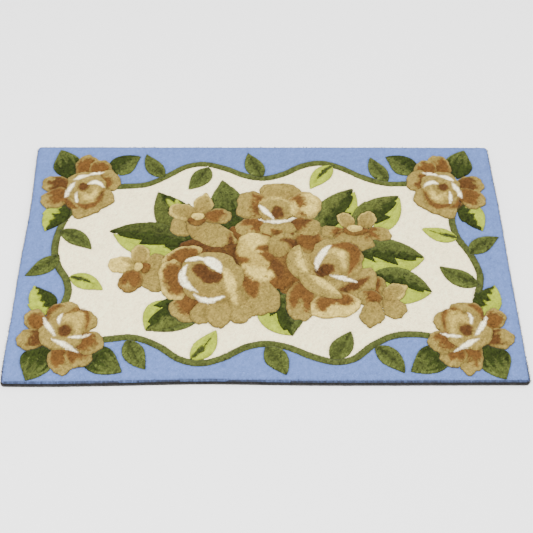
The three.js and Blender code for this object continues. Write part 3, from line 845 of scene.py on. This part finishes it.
def fit_corners(centres, corners, cells, owner, forms, rim, rng):
    """Moves the corners between two forms onto the outline that parts them."""
    top = np.full(len(corners), -9)
    low = np.full(len(corners), 999)
    count = np.zeros(len(corners), int)
    np.maximum.at(top, cells.ravel(), np.repeat(owner, 6))
    np.minimum.at(low, cells.ravel(), np.repeat(owner, 6))
    np.add.at(count, cells.ravel(), 1)
    at_rim = count < 3
    fixed = corners + rng.uniform(-1, 1, corners.shape) * TUFT_WANDER
    fixed[at_rim] = outline_distance(corners[at_rim], rim)[1]
    for index, form in enumerate(forms):
        idx = np.nonzero((top == index) & (low < index) & ~at_rim)[0]
        if len(idx):
            fixed[idx] = outline_distance(corners[idx], form.outline)[1]
    shift = fixed - corners
    for _ in range(12):
        bad = fan_areas(centres, corners + shift, cells) < 0.12
        hit = np.unique(np.concatenate([cells[bad], np.roll(cells, -1, axis=1)[bad]]))
        if not len(hit):
            break
        shift[hit] *= 0.6
    return corners + shift, at_rim


def edge_drop(distance):
    """How far the rolled edge falls, by the distance in from the pile's outline."""
    out = np.clip(ROLLED_EDGE - distance, 0, ROLLED_EDGE)
    return ROLLED_EDGE - np.sqrt(ROLLED_EDGE ** 2 - out ** 2)


def sheared(kind, near):
    """The carved profile of one kind of form, by the distance from its outline."""
    carving = CARVING[kind]
    return (-carving.drop * (1 - smooth(near / carving.width))
            + carving.crown * smooth(near / carving.crown_width))


def new_object(name, data):
    """An object in the scene, with this mesh, curve, camera or light."""
    obj = bpy.data.objects.new(name, data)
    bpy.context.scene.collection.objects.link(obj)
    return obj


def close_bottom(places, edges):
    """Triangles that close the underside inside these boundary edges."""
    _, _, faces, *_ = delaunay_2d_cdt([Vector(place) for place in places], edges, [], 2, 1e-7)
    faces = np.array(faces)
    a, b, c = (places[faces[:, k]] for k in range(3))
    turn = (b[:, 0] - a[:, 0]) * (c[:, 1] - a[:, 1]) - (b[:, 1] - a[:, 1]) * (c[:, 0] - a[:, 0])
    return np.where((turn > 0)[:, None], faces[:, ::-1], faces)


# Bake map: scale and lower corner of each part, and how far a wall is folded out
BAKE_PARTS = {"top": (0.93, (0.035, 0.395)), "under": (0.5, (0.035, 0.035))}
BAKE_FOLD = 1.2


def bake_places(xy, part):
    """Places in the bake map: the top face large, the underside smaller and apart from it."""
    share = xy / LENGTH + (0.5, 0.5 * DEPTH / LENGTH)
    scale, corner = BAKE_PARTS[part]
    return share * scale + corner


def tuft_heights(chosen, used, local, tufts):
    """Heights of a piece's corners, each the mean for the tufts that share it, and of its tips."""
    cells = tufts["cells"][chosen]
    kinds = tufts["kind"][chosen]
    tops = tufts["top"][chosen]
    sums = np.zeros(len(used))
    counts = np.zeros(len(used))
    tip_z = np.empty(len(chosen))
    for kind in np.unique(kinds):
        rows = kinds == kind
        level = tops[rows][:, None] + sheared(kind, tufts["corner_near"][cells[rows]])
        np.add.at(sums, local[rows].ravel(), level.ravel())
        np.add.at(counts, local[rows].ravel(), 1)
        tip_z[rows] = tops[rows] + sheared(kind, tufts["centre_near"][chosen[rows]])
    corner_z = sums / counts + tufts["corner_lift"][used] - TUFT_DIP
    return corner_z, tip_z + tufts["centre_lift"][chosen]


def way_out(xy, start, end):
    """The way out of a piece at each corner, from the boundary edges that meet there."""
    side = xy[end] - xy[start]
    side = np.column_stack([side[:, 1], -side[:, 0]])
    normal = np.zeros_like(xy)
    np.add.at(normal, start, side)
    np.add.at(normal, end, side)
    return normal / np.maximum(np.linalg.norm(normal, axis=1), 1e-9)[:, None]


def filled_mesh(name, verts, triangles, quads):
    """A smooth mesh, with its triangles before its quads."""
    loops = np.concatenate([triangles.ravel(), quads.ravel()])
    starts = np.concatenate([np.arange(len(triangles)) * 3,
                             len(triangles) * 3 + np.arange(len(quads)) * 4])
    mesh = bpy.data.meshes.new(name)
    mesh.vertices.add(len(verts))
    mesh.vertices.foreach_set("co", (verts * MM).ravel())
    mesh.loops.add(len(loops))
    mesh.loops.foreach_set("vertex_index", loops.astype(np.int32))
    mesh.polygons.add(len(starts))
    mesh.polygons.foreach_set("loop_start", starts.astype(np.int32))
    mesh.polygons.foreach_set("use_smooth", np.ones(len(starts), bool))
    mesh.update(calc_edges=True)
    mesh.validate()
    return mesh


def tufted_piece(name, chosen, tufts):
    """One closed mesh of tufts: domed tops, walls round every outline, and a flat underside."""
    used, local = np.unique(tufts["cells"][chosen], return_inverse=True)
    local = local.reshape(-1, 6)
    n_corner, n_tuft = len(used), len(chosen)
    xy = tufts["corners"][used]
    corner_z, tip_z = tuft_heights(chosen, used, local, tufts)

    # six triangles a tuft, from its tip to its sides
    start = local.ravel()
    end = np.roll(local, -1, axis=1).ravel()
    tip = np.repeat(np.arange(n_tuft) + n_corner, 6)
    top_faces = np.column_stack([tip, start, end])

    # a side that no other tuft of the piece shares is on its boundary
    outer = ~np.isin(start * n_corner + end, end * n_corner + start)
    a, b = start[outer], end[outer]
    ring = np.unique(a)
    normal = way_out(xy, a, b)

    # walls, row by row down to the root
    at_rim = tufts["at_rim"][used][ring]
    on_edge = name == "border_pile"
    rows = RIM_ROWS if on_edge else (0.0,)
    rng = np.random.default_rng(SEED + 3)
    verts = [np.column_stack([xy, corner_z]),
             np.column_stack([tufts["centres"][chosen], tip_z])]
    folded = [xy, tufts["centres"][chosen]]
    walls = []
    upper = np.arange(n_corner)
    total = n_corner + n_tuft
    for row, share in enumerate(rows):
        level = PILE_ROOT + share * (corner_z[ring] - PILE_ROOT)
        uneven = rng.uniform(*BULGE_RANGE, len(ring)) * RIM_BULGE
        bulge = np.where(at_rim & (share > 0), uneven, 0)
        verts.append(np.column_stack([xy[ring] + normal[ring] * bulge[:, None], level]))
        folded.append(xy[ring] + normal[ring] * BAKE_FOLD * (row + 1) / len(rows))
        lower = np.full(n_corner, -1)
        lower[ring] = total + np.arange(len(ring))
        walls.append(np.column_stack([upper[b], upper[a], lower[a], lower[b]]))
        total += len(ring)
        upper = lower
    verts = np.vstack(verts)
    walls = np.vstack(walls)

    order = np.full(n_corner, -1)
    order[ring] = np.arange(len(ring))
    edges = np.column_stack([order[a], order[b]])
    bottom_faces = upper[ring][close_bottom(xy[ring], edges.tolist())]
    mesh = filled_mesh(name, verts, np.vstack([top_faces, bottom_faces]), walls)

    # one yarn colour a tuft; walls take the tuft beside them mixed with painted shade, and the
    # underside takes the mean
    dye = tufts["colour"][chosen]
    root_shade = RIM_WALL_SHADE if on_edge else WALL_SHADE
    shaded_wall_dye = mix(dye[np.nonzero(outer)[0] // 6], DYE["root"], root_shade)
    loop_dye = np.vstack([np.repeat(dye, 18, axis=0),
                          np.tile(dye.mean(0), (3 * len(bottom_faces), 1)),
                          np.repeat(np.tile(shaded_wall_dye, (len(rows), 1)), 4, axis=0)])
    layer = mesh.color_attributes.new("yarn", "FLOAT_COLOR", "CORNER")
    layer.data.foreach_set("color", np.column_stack([loop_dye, np.ones(len(loop_dye))]).ravel())
    # tips: 1 at each tuft's tip and 0 at its corners and on walls; the yarn material paints shade
    # towards 0
    is_tip = np.zeros(len(verts))
    is_tip[n_corner:n_corner + n_tuft] = 1
    mesh.attributes.new("tip", "FLOAT", "POINT").data.foreach_set("value", is_tip)

    # bake map: walls are folded out a little, and the underside lies apart
    loop_uv = np.vstack([bake_places(verts[:, :2], "top")[top_faces.ravel()],
                         bake_places(verts[:, :2], "under")[bottom_faces.ravel()],
                         bake_places(np.vstack(folded), "top")[walls.ravel()]])
    mesh.uv_layers.new(name="OFBake").uv.foreach_set("vector", loop_uv.ravel())
    return new_object(name, mesh)


def between(pair, share):
    """A value between two, by the share of the second."""
    return pair[0] + (pair[1] - pair[0]) * share


def rim_gap(points, rim):
    """Distances in from the pile's outline, or far for points that are well inside it."""
    gap = np.full(len(points), FAR)
    edge = (np.abs(points) > np.array([LENGTH, DEPTH]) / 2 - FORM_REACH).any(1)
    gap[edge] = np.maximum(outline_distance(points[edge], rim)[0], 0)
    return gap


def shaded(colour, centres, kinds, gap, rng):
    """Yarn colours with their differences from tuft to tuft, and painted shade near the edge, most
    along the front.
    """
    grain = np.array([TUFT_SHADE[kind] for kind in kinds])
    grain *= np.where((kinds == "leaf") & (colour[:, 1] > LIGHT_YARN), LIGHT_SHARE, 1)
    strokes = lumps(centres @ [[0.8, 0.6], [-0.6, 0.8]] / (2.8, 6.5), 1.0, 9)
    clumps = lumps(centres, 2.9, 10)
    shade = 1 + grain * (0.85 * rng.standard_normal(len(centres)) + 1.1 * strokes + 0.9 * clumps)
    shade += 0.03 * lumps(centres * (1, 2.2), 16, 8) + 0.03 * lumps(centres / (5, 45), 1.0, 6)
    # painted shade near the edge: darker, then mixed towards the dark root colour, most along the
    # front
    front = smooth((-centres[:, 1] - 0.4 * DEPTH) / FRONT_FADE)
    shade *= 1 - between(RIM_SHADE, front) * np.exp(-(gap / RIM_SHADE_WIDTH) ** 2)
    reach = ROOT_SHADE_WIDTH * (1 + 0.12 * lumps(centres, 5, 12) + rng.uniform(-0.3, 0.3, len(gap)))
    root_shade = between(ROOT_SHADE_SHOW, front) * np.exp(-(gap / reach) ** 2)
    return np.clip(mix(colour * shade[:, None], DYE["root"], root_shade), 0, 1)


def make_tufts():
    """Places every tuft, gives it a form, a height and a yarn, and builds the pieces."""
    rng = np.random.default_rng(SEED)
    forms = carved_forms()
    centres, corners, cells, rim = hex_cells()
    field = outline_distance(centres, field_outline())[0] > 0
    owner, *_ = lay_forms(forms, centres, field)
    corners, at_rim = fit_corners(centres, corners, cells, owner, forms, rim, rng)
    centres = corners[cells].mean(1) * 0.6 + centres * 0.4
    _, centre_near, centre_dent, colour = lay_forms(forms, centres, field, True)
    _, corner_near, corner_dent, _ = lay_forms(forms, corners, np.zeros(len(corners), bool))

    def lift(points):
        return NAP_LUMPS * lumps(points, 11, 5) - edge_drop(rim_gap(points, rim))

    kinds = np.array([forms[k].kind if k >= 0 else "ground" for k in owner])
    tufts = {
        "centres": centres, "corners": corners, "cells": cells, "at_rim": at_rim,
        "kind": kinds,
        "top": np.array([forms[k].top if k >= 0 else GROUND_TOP for k in owner]),
        "colour": shaded(colour, centres, kinds, rim_gap(centres, rim), rng),
        "centre_near": centre_near, "corner_near": corner_near,
        "centre_lift": lift(centres) + centre_dent,
        "corner_lift": lift(corners) + corner_dent,
    }
    names = ["border_pile", "field_pile", "vine", "vine_leaves", "corner_leaves", "bouquet_leaves",
             "corner_roses", "bouquet_roses", "blossoms"]
    ground = {BORDER: "border_pile", FIELD: "field_pile"}
    piece_of = np.array([forms[k].piece if k >= 0 else ground[k] for k in owner])
    return {name: tufted_piece(name, np.nonzero(piece_of == name)[0], tufts) for name in names}


def feed(tree, socket, value):
    """Sets a socket's value, or links another socket to it."""
    if isinstance(value, bpy.types.NodeSocket):
        tree.links.new(value, socket)
    else:
        socket.default_value = value


def add_node(tree, kind, inputs=None, **settings):
    """A node with these settings, and with inputs by their names or numbers."""
    node = tree.nodes.new(kind)
    for key, value in settings.items():
        setattr(node, key, value)
    for key, value in (inputs or {}).items():
        feed(tree, node.inputs[key], value)
    return node


def maths(tree, operation, first, second):
    """The result of one sum on two numbers."""
    return add_node(tree, "ShaderNodeMath", {0: first, 1: second}, operation=operation).outputs[0]


def vectors(tree, operation, first, second):
    """Vector maths; for SCALE, the second value is a number."""
    second_input = "Scale" if operation == "SCALE" else 1
    return add_node(tree, "ShaderNodeVectorMath", {0: first, second_input: second},
                    operation=operation).outputs[0]


def upwards(tree, height):
    """A vector that points straight up."""
    return add_node(tree, "ShaderNodeCombineXYZ", {"Z": height}).outputs[0]


def random_value(tree, kind, low, high, seed, shift):
    """A random value for each point, from its own shift of the tree's seed."""
    node = add_node(tree, "FunctionNodeRandomValue", data_type=kind)
    ending, out = ("", 0) if kind == "FLOAT_VECTOR" else ("_001", 1)
    sockets = {socket.identifier: socket for socket in node.inputs}
    feed(tree, sockets["Min" + ending], low)
    feed(tree, sockets["Max" + ending], high)
    feed(tree, node.inputs["Seed"], maths(tree, "ADD", seed, shift))
    return node.outputs[out]


def either_way(tree, reach, seed, shift):
    """A random number for each point, up to this reach below or above 0."""
    return random_value(tree, "FLOAT", maths(tree, "MULTIPLY", reach, -1.0), reach, seed, shift)


def store(tree, geometry, name, value, data_type, domain):
    """Keeps a value on the geometry, as a named attribute."""
    return add_node(tree, "GeometryNodeStoreNamedAttribute",
                    {"Geometry": geometry, "Name": name, "Value": value},
                    data_type=data_type, domain=domain).outputs[0]


def recall(tree, name, data_type):
    """Reads a named attribute."""
    return add_node(tree, "GeometryNodeInputNamedAttribute", {"Name": name},
                    data_type=data_type).outputs[0]


def new_tree(name, inputs):
    """A Geometry Nodes tree with named inputs; gives the tree, its input sockets and its output."""
    tree = bpy.data.node_groups.new(name, "GeometryNodeTree")
    tree.interface.new_socket("Geometry", in_out="INPUT", socket_type="NodeSocketGeometry")
    for label, kind in inputs:
        tree.interface.new_socket(label, in_out="INPUT", socket_type="NodeSocket" + kind)
    tree.interface.new_socket("Geometry", in_out="OUTPUT", socket_type="NodeSocketGeometry")
    start = tree.nodes.new("NodeGroupInput")
    end = tree.nodes.new("NodeGroupOutput")
    return tree, start.outputs, end


def end_tree(tree, end, geometry, material):
    """Makes the instances real, gives them their material, and sends them out of the tree."""
    realized = add_node(tree, "GeometryNodeRealizeInstances", {"Geometry": geometry})
    dressed = add_node(tree, "GeometryNodeSetMaterial",
                       {"Geometry": realized.outputs[0], "Material": material})
    tree.links.new(dressed.outputs[0], end.inputs[0])


def nap_tree():
    """Leans the tip of each tuft, and shears it unevenly."""
    tree, given, end = new_tree("pile nap", [
        ("Lean X", "Float"), ("Lean Y", "Float"), ("Spread", "Float"), ("Unevenness", "Float"),
        ("Seed", "Int"), ("Yarn", "Material")])
    seed = given["Seed"]
    is_tip = add_node(tree, "FunctionNodeCompare", {"A": recall(tree, "tip", "FLOAT"), "B": 0.5},
                      data_type="FLOAT", operation="GREATER_THAN").outputs[0]
    offset = add_node(tree, "ShaderNodeCombineXYZ", {
        "X": maths(tree, "ADD", given["Lean X"], either_way(tree, given["Spread"], seed, 1)),
        "Y": maths(tree, "ADD", given["Lean Y"], either_way(tree, given["Spread"], seed, 2)),
        "Z": either_way(tree, given["Unevenness"], seed, 3)}).outputs[0]
    moved = add_node(tree, "GeometryNodeSetPosition", {
        "Geometry": given["Geometry"], "Selection": is_tip, "Offset": offset})
    end_tree(tree, end, moved.outputs[0], given["Yarn"])
    return tree


def lock_tree():
    """Rows of closed yarn locks that stand out along an edge and splay."""
    tree, given, end = new_tree("edge locks", [
        ("Spacing", "Float"), ("Rows", "Int"), ("Row Step", "Float"), ("Length", "Float"),
        ("Thickness", "Float"), ("Sides", "Int"), ("Lift", "Float"), ("Splay", "Float"),
        ("Shade", "Float"), ("Dye", "Color"), ("Seed", "Int"), ("Yarn", "Material")])
    seed = given["Seed"]

    # roots: spaced along the curve, in rows one above the other, and scattered a little
    along = add_node(tree, "GeometryNodeCurveToPoints",
                     {"Curve": given["Geometry"], "Length": given["Spacing"]}, mode="LENGTH")
    outward = vectors(tree, "CROSS_PRODUCT", along.outputs["Tangent"], (0, 0, 1))
    kept = store(tree, along.outputs["Points"], "outward", outward, "FLOAT_VECTOR", "POINT")
    rows = add_node(tree, "GeometryNodeDuplicateElements",
                    {"Geometry": kept, "Amount": given["Rows"]}, domain="POINT")
    jitter = random_value(tree, "FLOAT_VECTOR", (-1, -1, -0.6), (1, 1, 0.6), seed, 1)
    half = maths(tree, "MULTIPLY", given["Spacing"], 0.5)
    rise = maths(tree, "MULTIPLY", rows.outputs["Duplicate Index"], given["Row Step"])
    offset = vectors(tree, "ADD", vectors(tree, "SCALE", jitter, half), upwards(tree, rise))
    placed = add_node(tree, "GeometryNodeSetPosition",
                      {"Geometry": rows.outputs[0], "Offset": offset})

    # way of each lock: outwards and up, and astray
    lifted = vectors(tree, "ADD", recall(tree, "outward", "FLOAT_VECTOR"),
                     upwards(tree, given["Lift"]))
    stray = random_value(tree, "FLOAT_VECTOR", (-1, -1, -1), (1, 1, 1), seed, 2)
    way = vectors(tree, "ADD", lifted, vectors(tree, "SCALE", stray, given["Splay"]))
    turned = add_node(tree, "FunctionNodeAlignRotationToVector", {"Vector": way},
                      axis="Z").outputs[0]

    # one lock tapers from its root, and each copy differs in size
    lock = add_node(tree, "GeometryNodeMeshCone", {
        "Vertices": given["Sides"], "Side Segments": 2, "Fill Segments": 1,
        "Radius Top": maths(tree, "MULTIPLY", given["Thickness"], 0.28),
        "Radius Bottom": maths(tree, "MULTIPLY", given["Thickness"], 0.5),
        "Depth": given["Length"]}, fill_type="NGON")
    sizes = random_value(tree, "FLOAT_VECTOR", (0.8, 0.8, 0.6), (1.2, 1.2, 1.2), seed, 3)
    locks = add_node(tree, "GeometryNodeInstanceOnPoints", {
        "Points": placed.outputs[0], "Instance": lock.outputs["Mesh"], "Rotation": turned,
        "Scale": sizes}).outputs[0]

    # dye, with its shade differing from lock to lock
    shade = random_value(tree, "FLOAT", maths(tree, "SUBTRACT", 1.0, given["Shade"]),
                         maths(tree, "ADD", 1.0, given["Shade"]), seed, 4)
    dye = vectors(tree, "SCALE", given["Dye"], shade)
    dyed = store(tree, locks, "yarn", dye, "FLOAT_COLOR", "INSTANCE")
    tipped = store(tree, dyed, "tip", LOCK_TIP, "FLOAT", "INSTANCE")
    end_tree(tree, end, tipped, given["Yarn"])
    return tree


def grown(source, tree, values, name):
    """The plain mesh that a tree makes of an object, which it takes the place of."""
    modifier = source.modifiers.new(tree.name, "NODES")
    modifier.node_group = tree
    for item in tree.interface.items_tree:
        if item.item_type == "SOCKET" and item.in_out == "INPUT" and item.name in values:
            modifier[item.identifier] = values[item.name]
    evaluated = source.evaluated_get(bpy.context.evaluated_depsgraph_get())
    mesh = bpy.data.meshes.new_from_object(evaluated)
    source.modifiers.remove(modifier)
    bpy.data.objects.remove(source)
    mesh.name = name
    return new_object(name, mesh)


def edge_curve(inset, level):
    """A closed curve along the mat's outline, at this height."""
    outline = mat_outline(inset, 4.0)
    data = bpy.data.curves.new("edge", "CURVE")
    data.dimensions = "3D"
    line = data.splines.new("POLY")
    line.points.add(len(outline) - 1)
    places = np.column_stack([outline, np.full(len(outline), level)]) * MM
    line.points.foreach_set("co", np.column_stack([places, np.ones(len(places))]).ravel())
    line.use_cyclic_u = True
    return new_object("edge", data)


def new_material(name, roughness, specular):
    """A plain material; gives it, its node tree and its shader."""
    material = bpy.data.materials.new(name)
    material.use_nodes = True
    shader = material.node_tree.nodes["Principled BSDF"]
    shader.inputs["Roughness"].default_value = roughness
    shader.inputs["Specular IOR Level"].default_value = specular
    return material, material.node_tree, shader


def fibre_grain(tree, shader, scale, detail, roughness, strength, height):
    """Fine noise over the surface, which also raises the shader's bump; gives the noise."""
    place = add_node(tree, "ShaderNodeTexCoord")
    noise = add_node(tree, "ShaderNodeTexNoise", {
        "Vector": place.outputs["Object"], "Scale": scale, "Detail": detail,
        "Roughness": roughness})
    bump = add_node(tree, "ShaderNodeBump", {
        "Height": noise.outputs["Fac"], "Strength": strength, "Distance": height})
    feed(tree, shader.inputs["Normal"], bump.outputs["Normal"])
    return noise.outputs["Fac"]


def yarn_material():
    """Cut-pile yarn: its dye, with painted shade between the tufts, fibre grain and a soft sheen.
    """
    material, tree, shader = new_material("cut pile yarn", 0.95, 0.08)
    shader.inputs["Sheen Weight"].default_value = 0.05
    shader.inputs["Sheen Roughness"].default_value = 0.45
    fibre = fibre_grain(tree, shader, 1300, 3, 0.65, 0.5, 0.0004)
    dye = add_node(tree, "ShaderNodeAttribute", attribute_name="yarn")
    tip = add_node(tree, "ShaderNodeAttribute", attribute_name="tip")
    # painted shade: darker where the tip attribute falls towards 0, between the tufts and down the
    # walls
    depth = add_node(tree, "ShaderNodeMapRange", {
        "Value": tip.outputs["Fac"], "To Min": 0.78, "To Max": 1.08})
    grain = add_node(tree, "ShaderNodeMapRange", {
        "Value": fibre, "From Min": 0.3, "From Max": 0.7, "To Min": 0.88, "To Max": 1.12})
    shade = maths(tree, "MULTIPLY", depth.outputs["Result"], grain.outputs["Result"])
    colour = vectors(tree, "SCALE", dye.outputs["Color"], shade)
    feed(tree, shader.inputs["Base Color"], colour)
    return material


def backing_material():
    """Dark matt backing with paler flecks."""
    material, tree, shader = new_material("backing weave", 0.85, 0.2)
    fleck = fibre_grain(tree, shader, 700, 4, 0.5, 0.6, 0.0005)
    ramp = add_node(tree, "ShaderNodeValToRGB", {"Fac": fleck})
    for stop, place, yarn in zip(ramp.color_ramp.elements, (0.35, 0.75), ("pitch", "fleck")):
        stop.position = place
        stop.color = (*DYE[yarn], 1)
    feed(tree, shader.inputs["Base Color"], ramp.outputs["Color"])
    return material


def make_backing():
    """The backing sheet, with a rough cut edge."""
    outline = mat_outline(0.0, 2.0)
    rng = np.random.default_rng(SEED + 5)
    n = len(outline)
    way = np.roll(outline, -1, axis=0) - np.roll(outline, 1, axis=0)
    out = np.column_stack([way[:, 1], -way[:, 0]])
    out /= np.linalg.norm(out, axis=1)[:, None]
    rings = []
    for level, push in BACKING_EDGE:
        rough = rng.uniform(-0.25, 0.25, n) if level > 0 else np.zeros(n)
        rings.append(np.column_stack([outline + out * (push + rough)[:, None],
                                      np.full(n, level)]))
    verts = np.vstack(rings)
    index = np.arange(n)
    following = np.roll(index, -1)
    faces = []
    for first in range(0, n * (len(rings) - 1), n):
        faces += np.column_stack([index + first, following + first,
                                  following + first + n, index + first + n]).tolist()
    faces.append((index + (len(rings) - 1) * n).tolist())
    faces.append(index[::-1].tolist())
    mesh = bpy.data.meshes.new("backing_sheet")
    mesh.from_pydata((verts * MM).tolist(), [], faces)
    mesh.update()
    return new_object("backing_sheet", mesh)


def make_floor():
    """A plain pale floor."""
    mesh = bpy.data.meshes.new("floor")
    size = 6.0
    mesh.from_pydata([(-size, -size, 0), (size, -size, 0), (size, size, 0), (-size, size, 0)], [],
                     [(0, 1, 2, 3)])
    material, _, shader = new_material("pale floor", 0.9, 0.5)
    shader.inputs["Base Color"].default_value = (0.9, 0.9, 0.9, 1)
    mesh.materials.append(material)
    new_object("floor", mesh)


# Camera: place in millimetres, angles in degrees, lens in millimetres
CAMERA_PLACE = (-33.9, -1195.6, 1452.9)
CAMERA_PITCH = 50.93
CAMERA_YAW = 1.77
CAMERA_ROLL = 1.34
CAMERA_LENS = 77.07


def make_camera():
    """The photo's camera: in front of the mat and above it, turned and tilted a little."""
    pitch, yaw, roll = (math.radians(v) for v in (CAMERA_PITCH, CAMERA_YAW, CAMERA_ROLL))
    ahead = Vector((math.sin(yaw) * math.cos(pitch), math.cos(yaw) * math.cos(pitch),
                    -math.sin(pitch)))
    right = Vector((math.cos(yaw), -math.sin(yaw), 0))
    up = right.cross(ahead)
    level_right = right * math.cos(roll) + up * math.sin(roll)
    level_up = up * math.cos(roll) - right * math.sin(roll)
    data = bpy.data.cameras.new("camera")
    data.sensor_width = 36
    data.lens = CAMERA_LENS
    camera = new_object("camera", data)
    turned = Matrix((level_right, level_up, -ahead)).transposed()
    camera.matrix_world = Matrix.Translation(Vector(CAMERA_PLACE) * MM) @ turned.to_4x4()
    bpy.context.scene.camera = camera


def add_light(name, place, size, power):
    """A round soft light that points at the mat."""
    data = bpy.data.lights.new(name, "AREA")
    data.shape = "DISK"
    data.size = size
    data.energy = power
    light = new_object(name, data)
    light.location = place
    light.rotation_euler = (-Vector(place)).to_track_quat("-Z", "Y").to_euler()


def make_lights():
    """Two soft lights and an even white surround, as in a product photo."""
    add_light("key", (-0.7, -1.1, 3.0), 1.0, 198)
    add_light("fill", (1.6, 0.9, 2.4), 2.0, 50)
    world = bpy.data.worlds.new("studio")
    world.use_nodes = True
    background = world.node_tree.nodes["Background"]
    background.inputs["Color"].default_value = (1, 1, 1, 1)
    background.inputs["Strength"].default_value = 1.44
    bpy.context.scene.world = world


make_camera()
make_lights()
make_floor()

pile_yarn = yarn_material()
nap = nap_tree()
locks = lock_tree()
pieces = {}
for index, (name, piece) in enumerate(make_tufts().items()):
    pieces[name] = grown(piece, nap, {
        "Lean X": NAP_LEAN[0] * MM, "Lean Y": NAP_LEAN[1] * MM, "Spread": NAP_SPREAD * MM,
        "Unevenness": TUFT_UNEVEN * MM, "Seed": SEED + index, "Yarn": pile_yarn}, name)
# Edge locks dyed almost wholly in the dark root colour: painted shade along the pile's side
shaded_lock_dye = mix(DYE["blue"], DYE["root"], 0.93)[0]
pieces["edge_locks"] = grown(edge_curve(PILE_INSET + 2.4, PILE_ROOT + 5.6), locks, {
    "Spacing": 3.1 * MM, "Rows": 1, "Row Step": 1.1 * MM, "Length": 2.0 * MM,
    "Thickness": 1.5 * MM, "Sides": 5, "Lift": 1.2, "Splay": 0.7, "Shade": 0.4,
    "Dye": (*shaded_lock_dye, 1.0), "Seed": SEED, "Yarn": pile_yarn}, "edge_locks")
backing_weave = backing_material()
fibres = grown(edge_curve(0.7, BACKING_TOP - 0.8), locks, {
    "Spacing": 1.3 * MM, "Rows": 2, "Row Step": 0.4 * MM, "Length": 4.2 * MM,
    "Thickness": 0.8 * MM, "Sides": 4, "Lift": 3.6, "Splay": 1.1, "Shade": 0.5,
    "Dye": (*DYE["backing"], 1.0), "Seed": SEED + 40, "Yarn": backing_weave}, "backing_fibres")
for name, piece in pieces.items():
    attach(piece, "root")
    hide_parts("pile")

backing = make_backing()
backing.data.materials.append(backing_weave)
for piece in (backing, fibres):
    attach(piece, "root")
    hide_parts("backing")
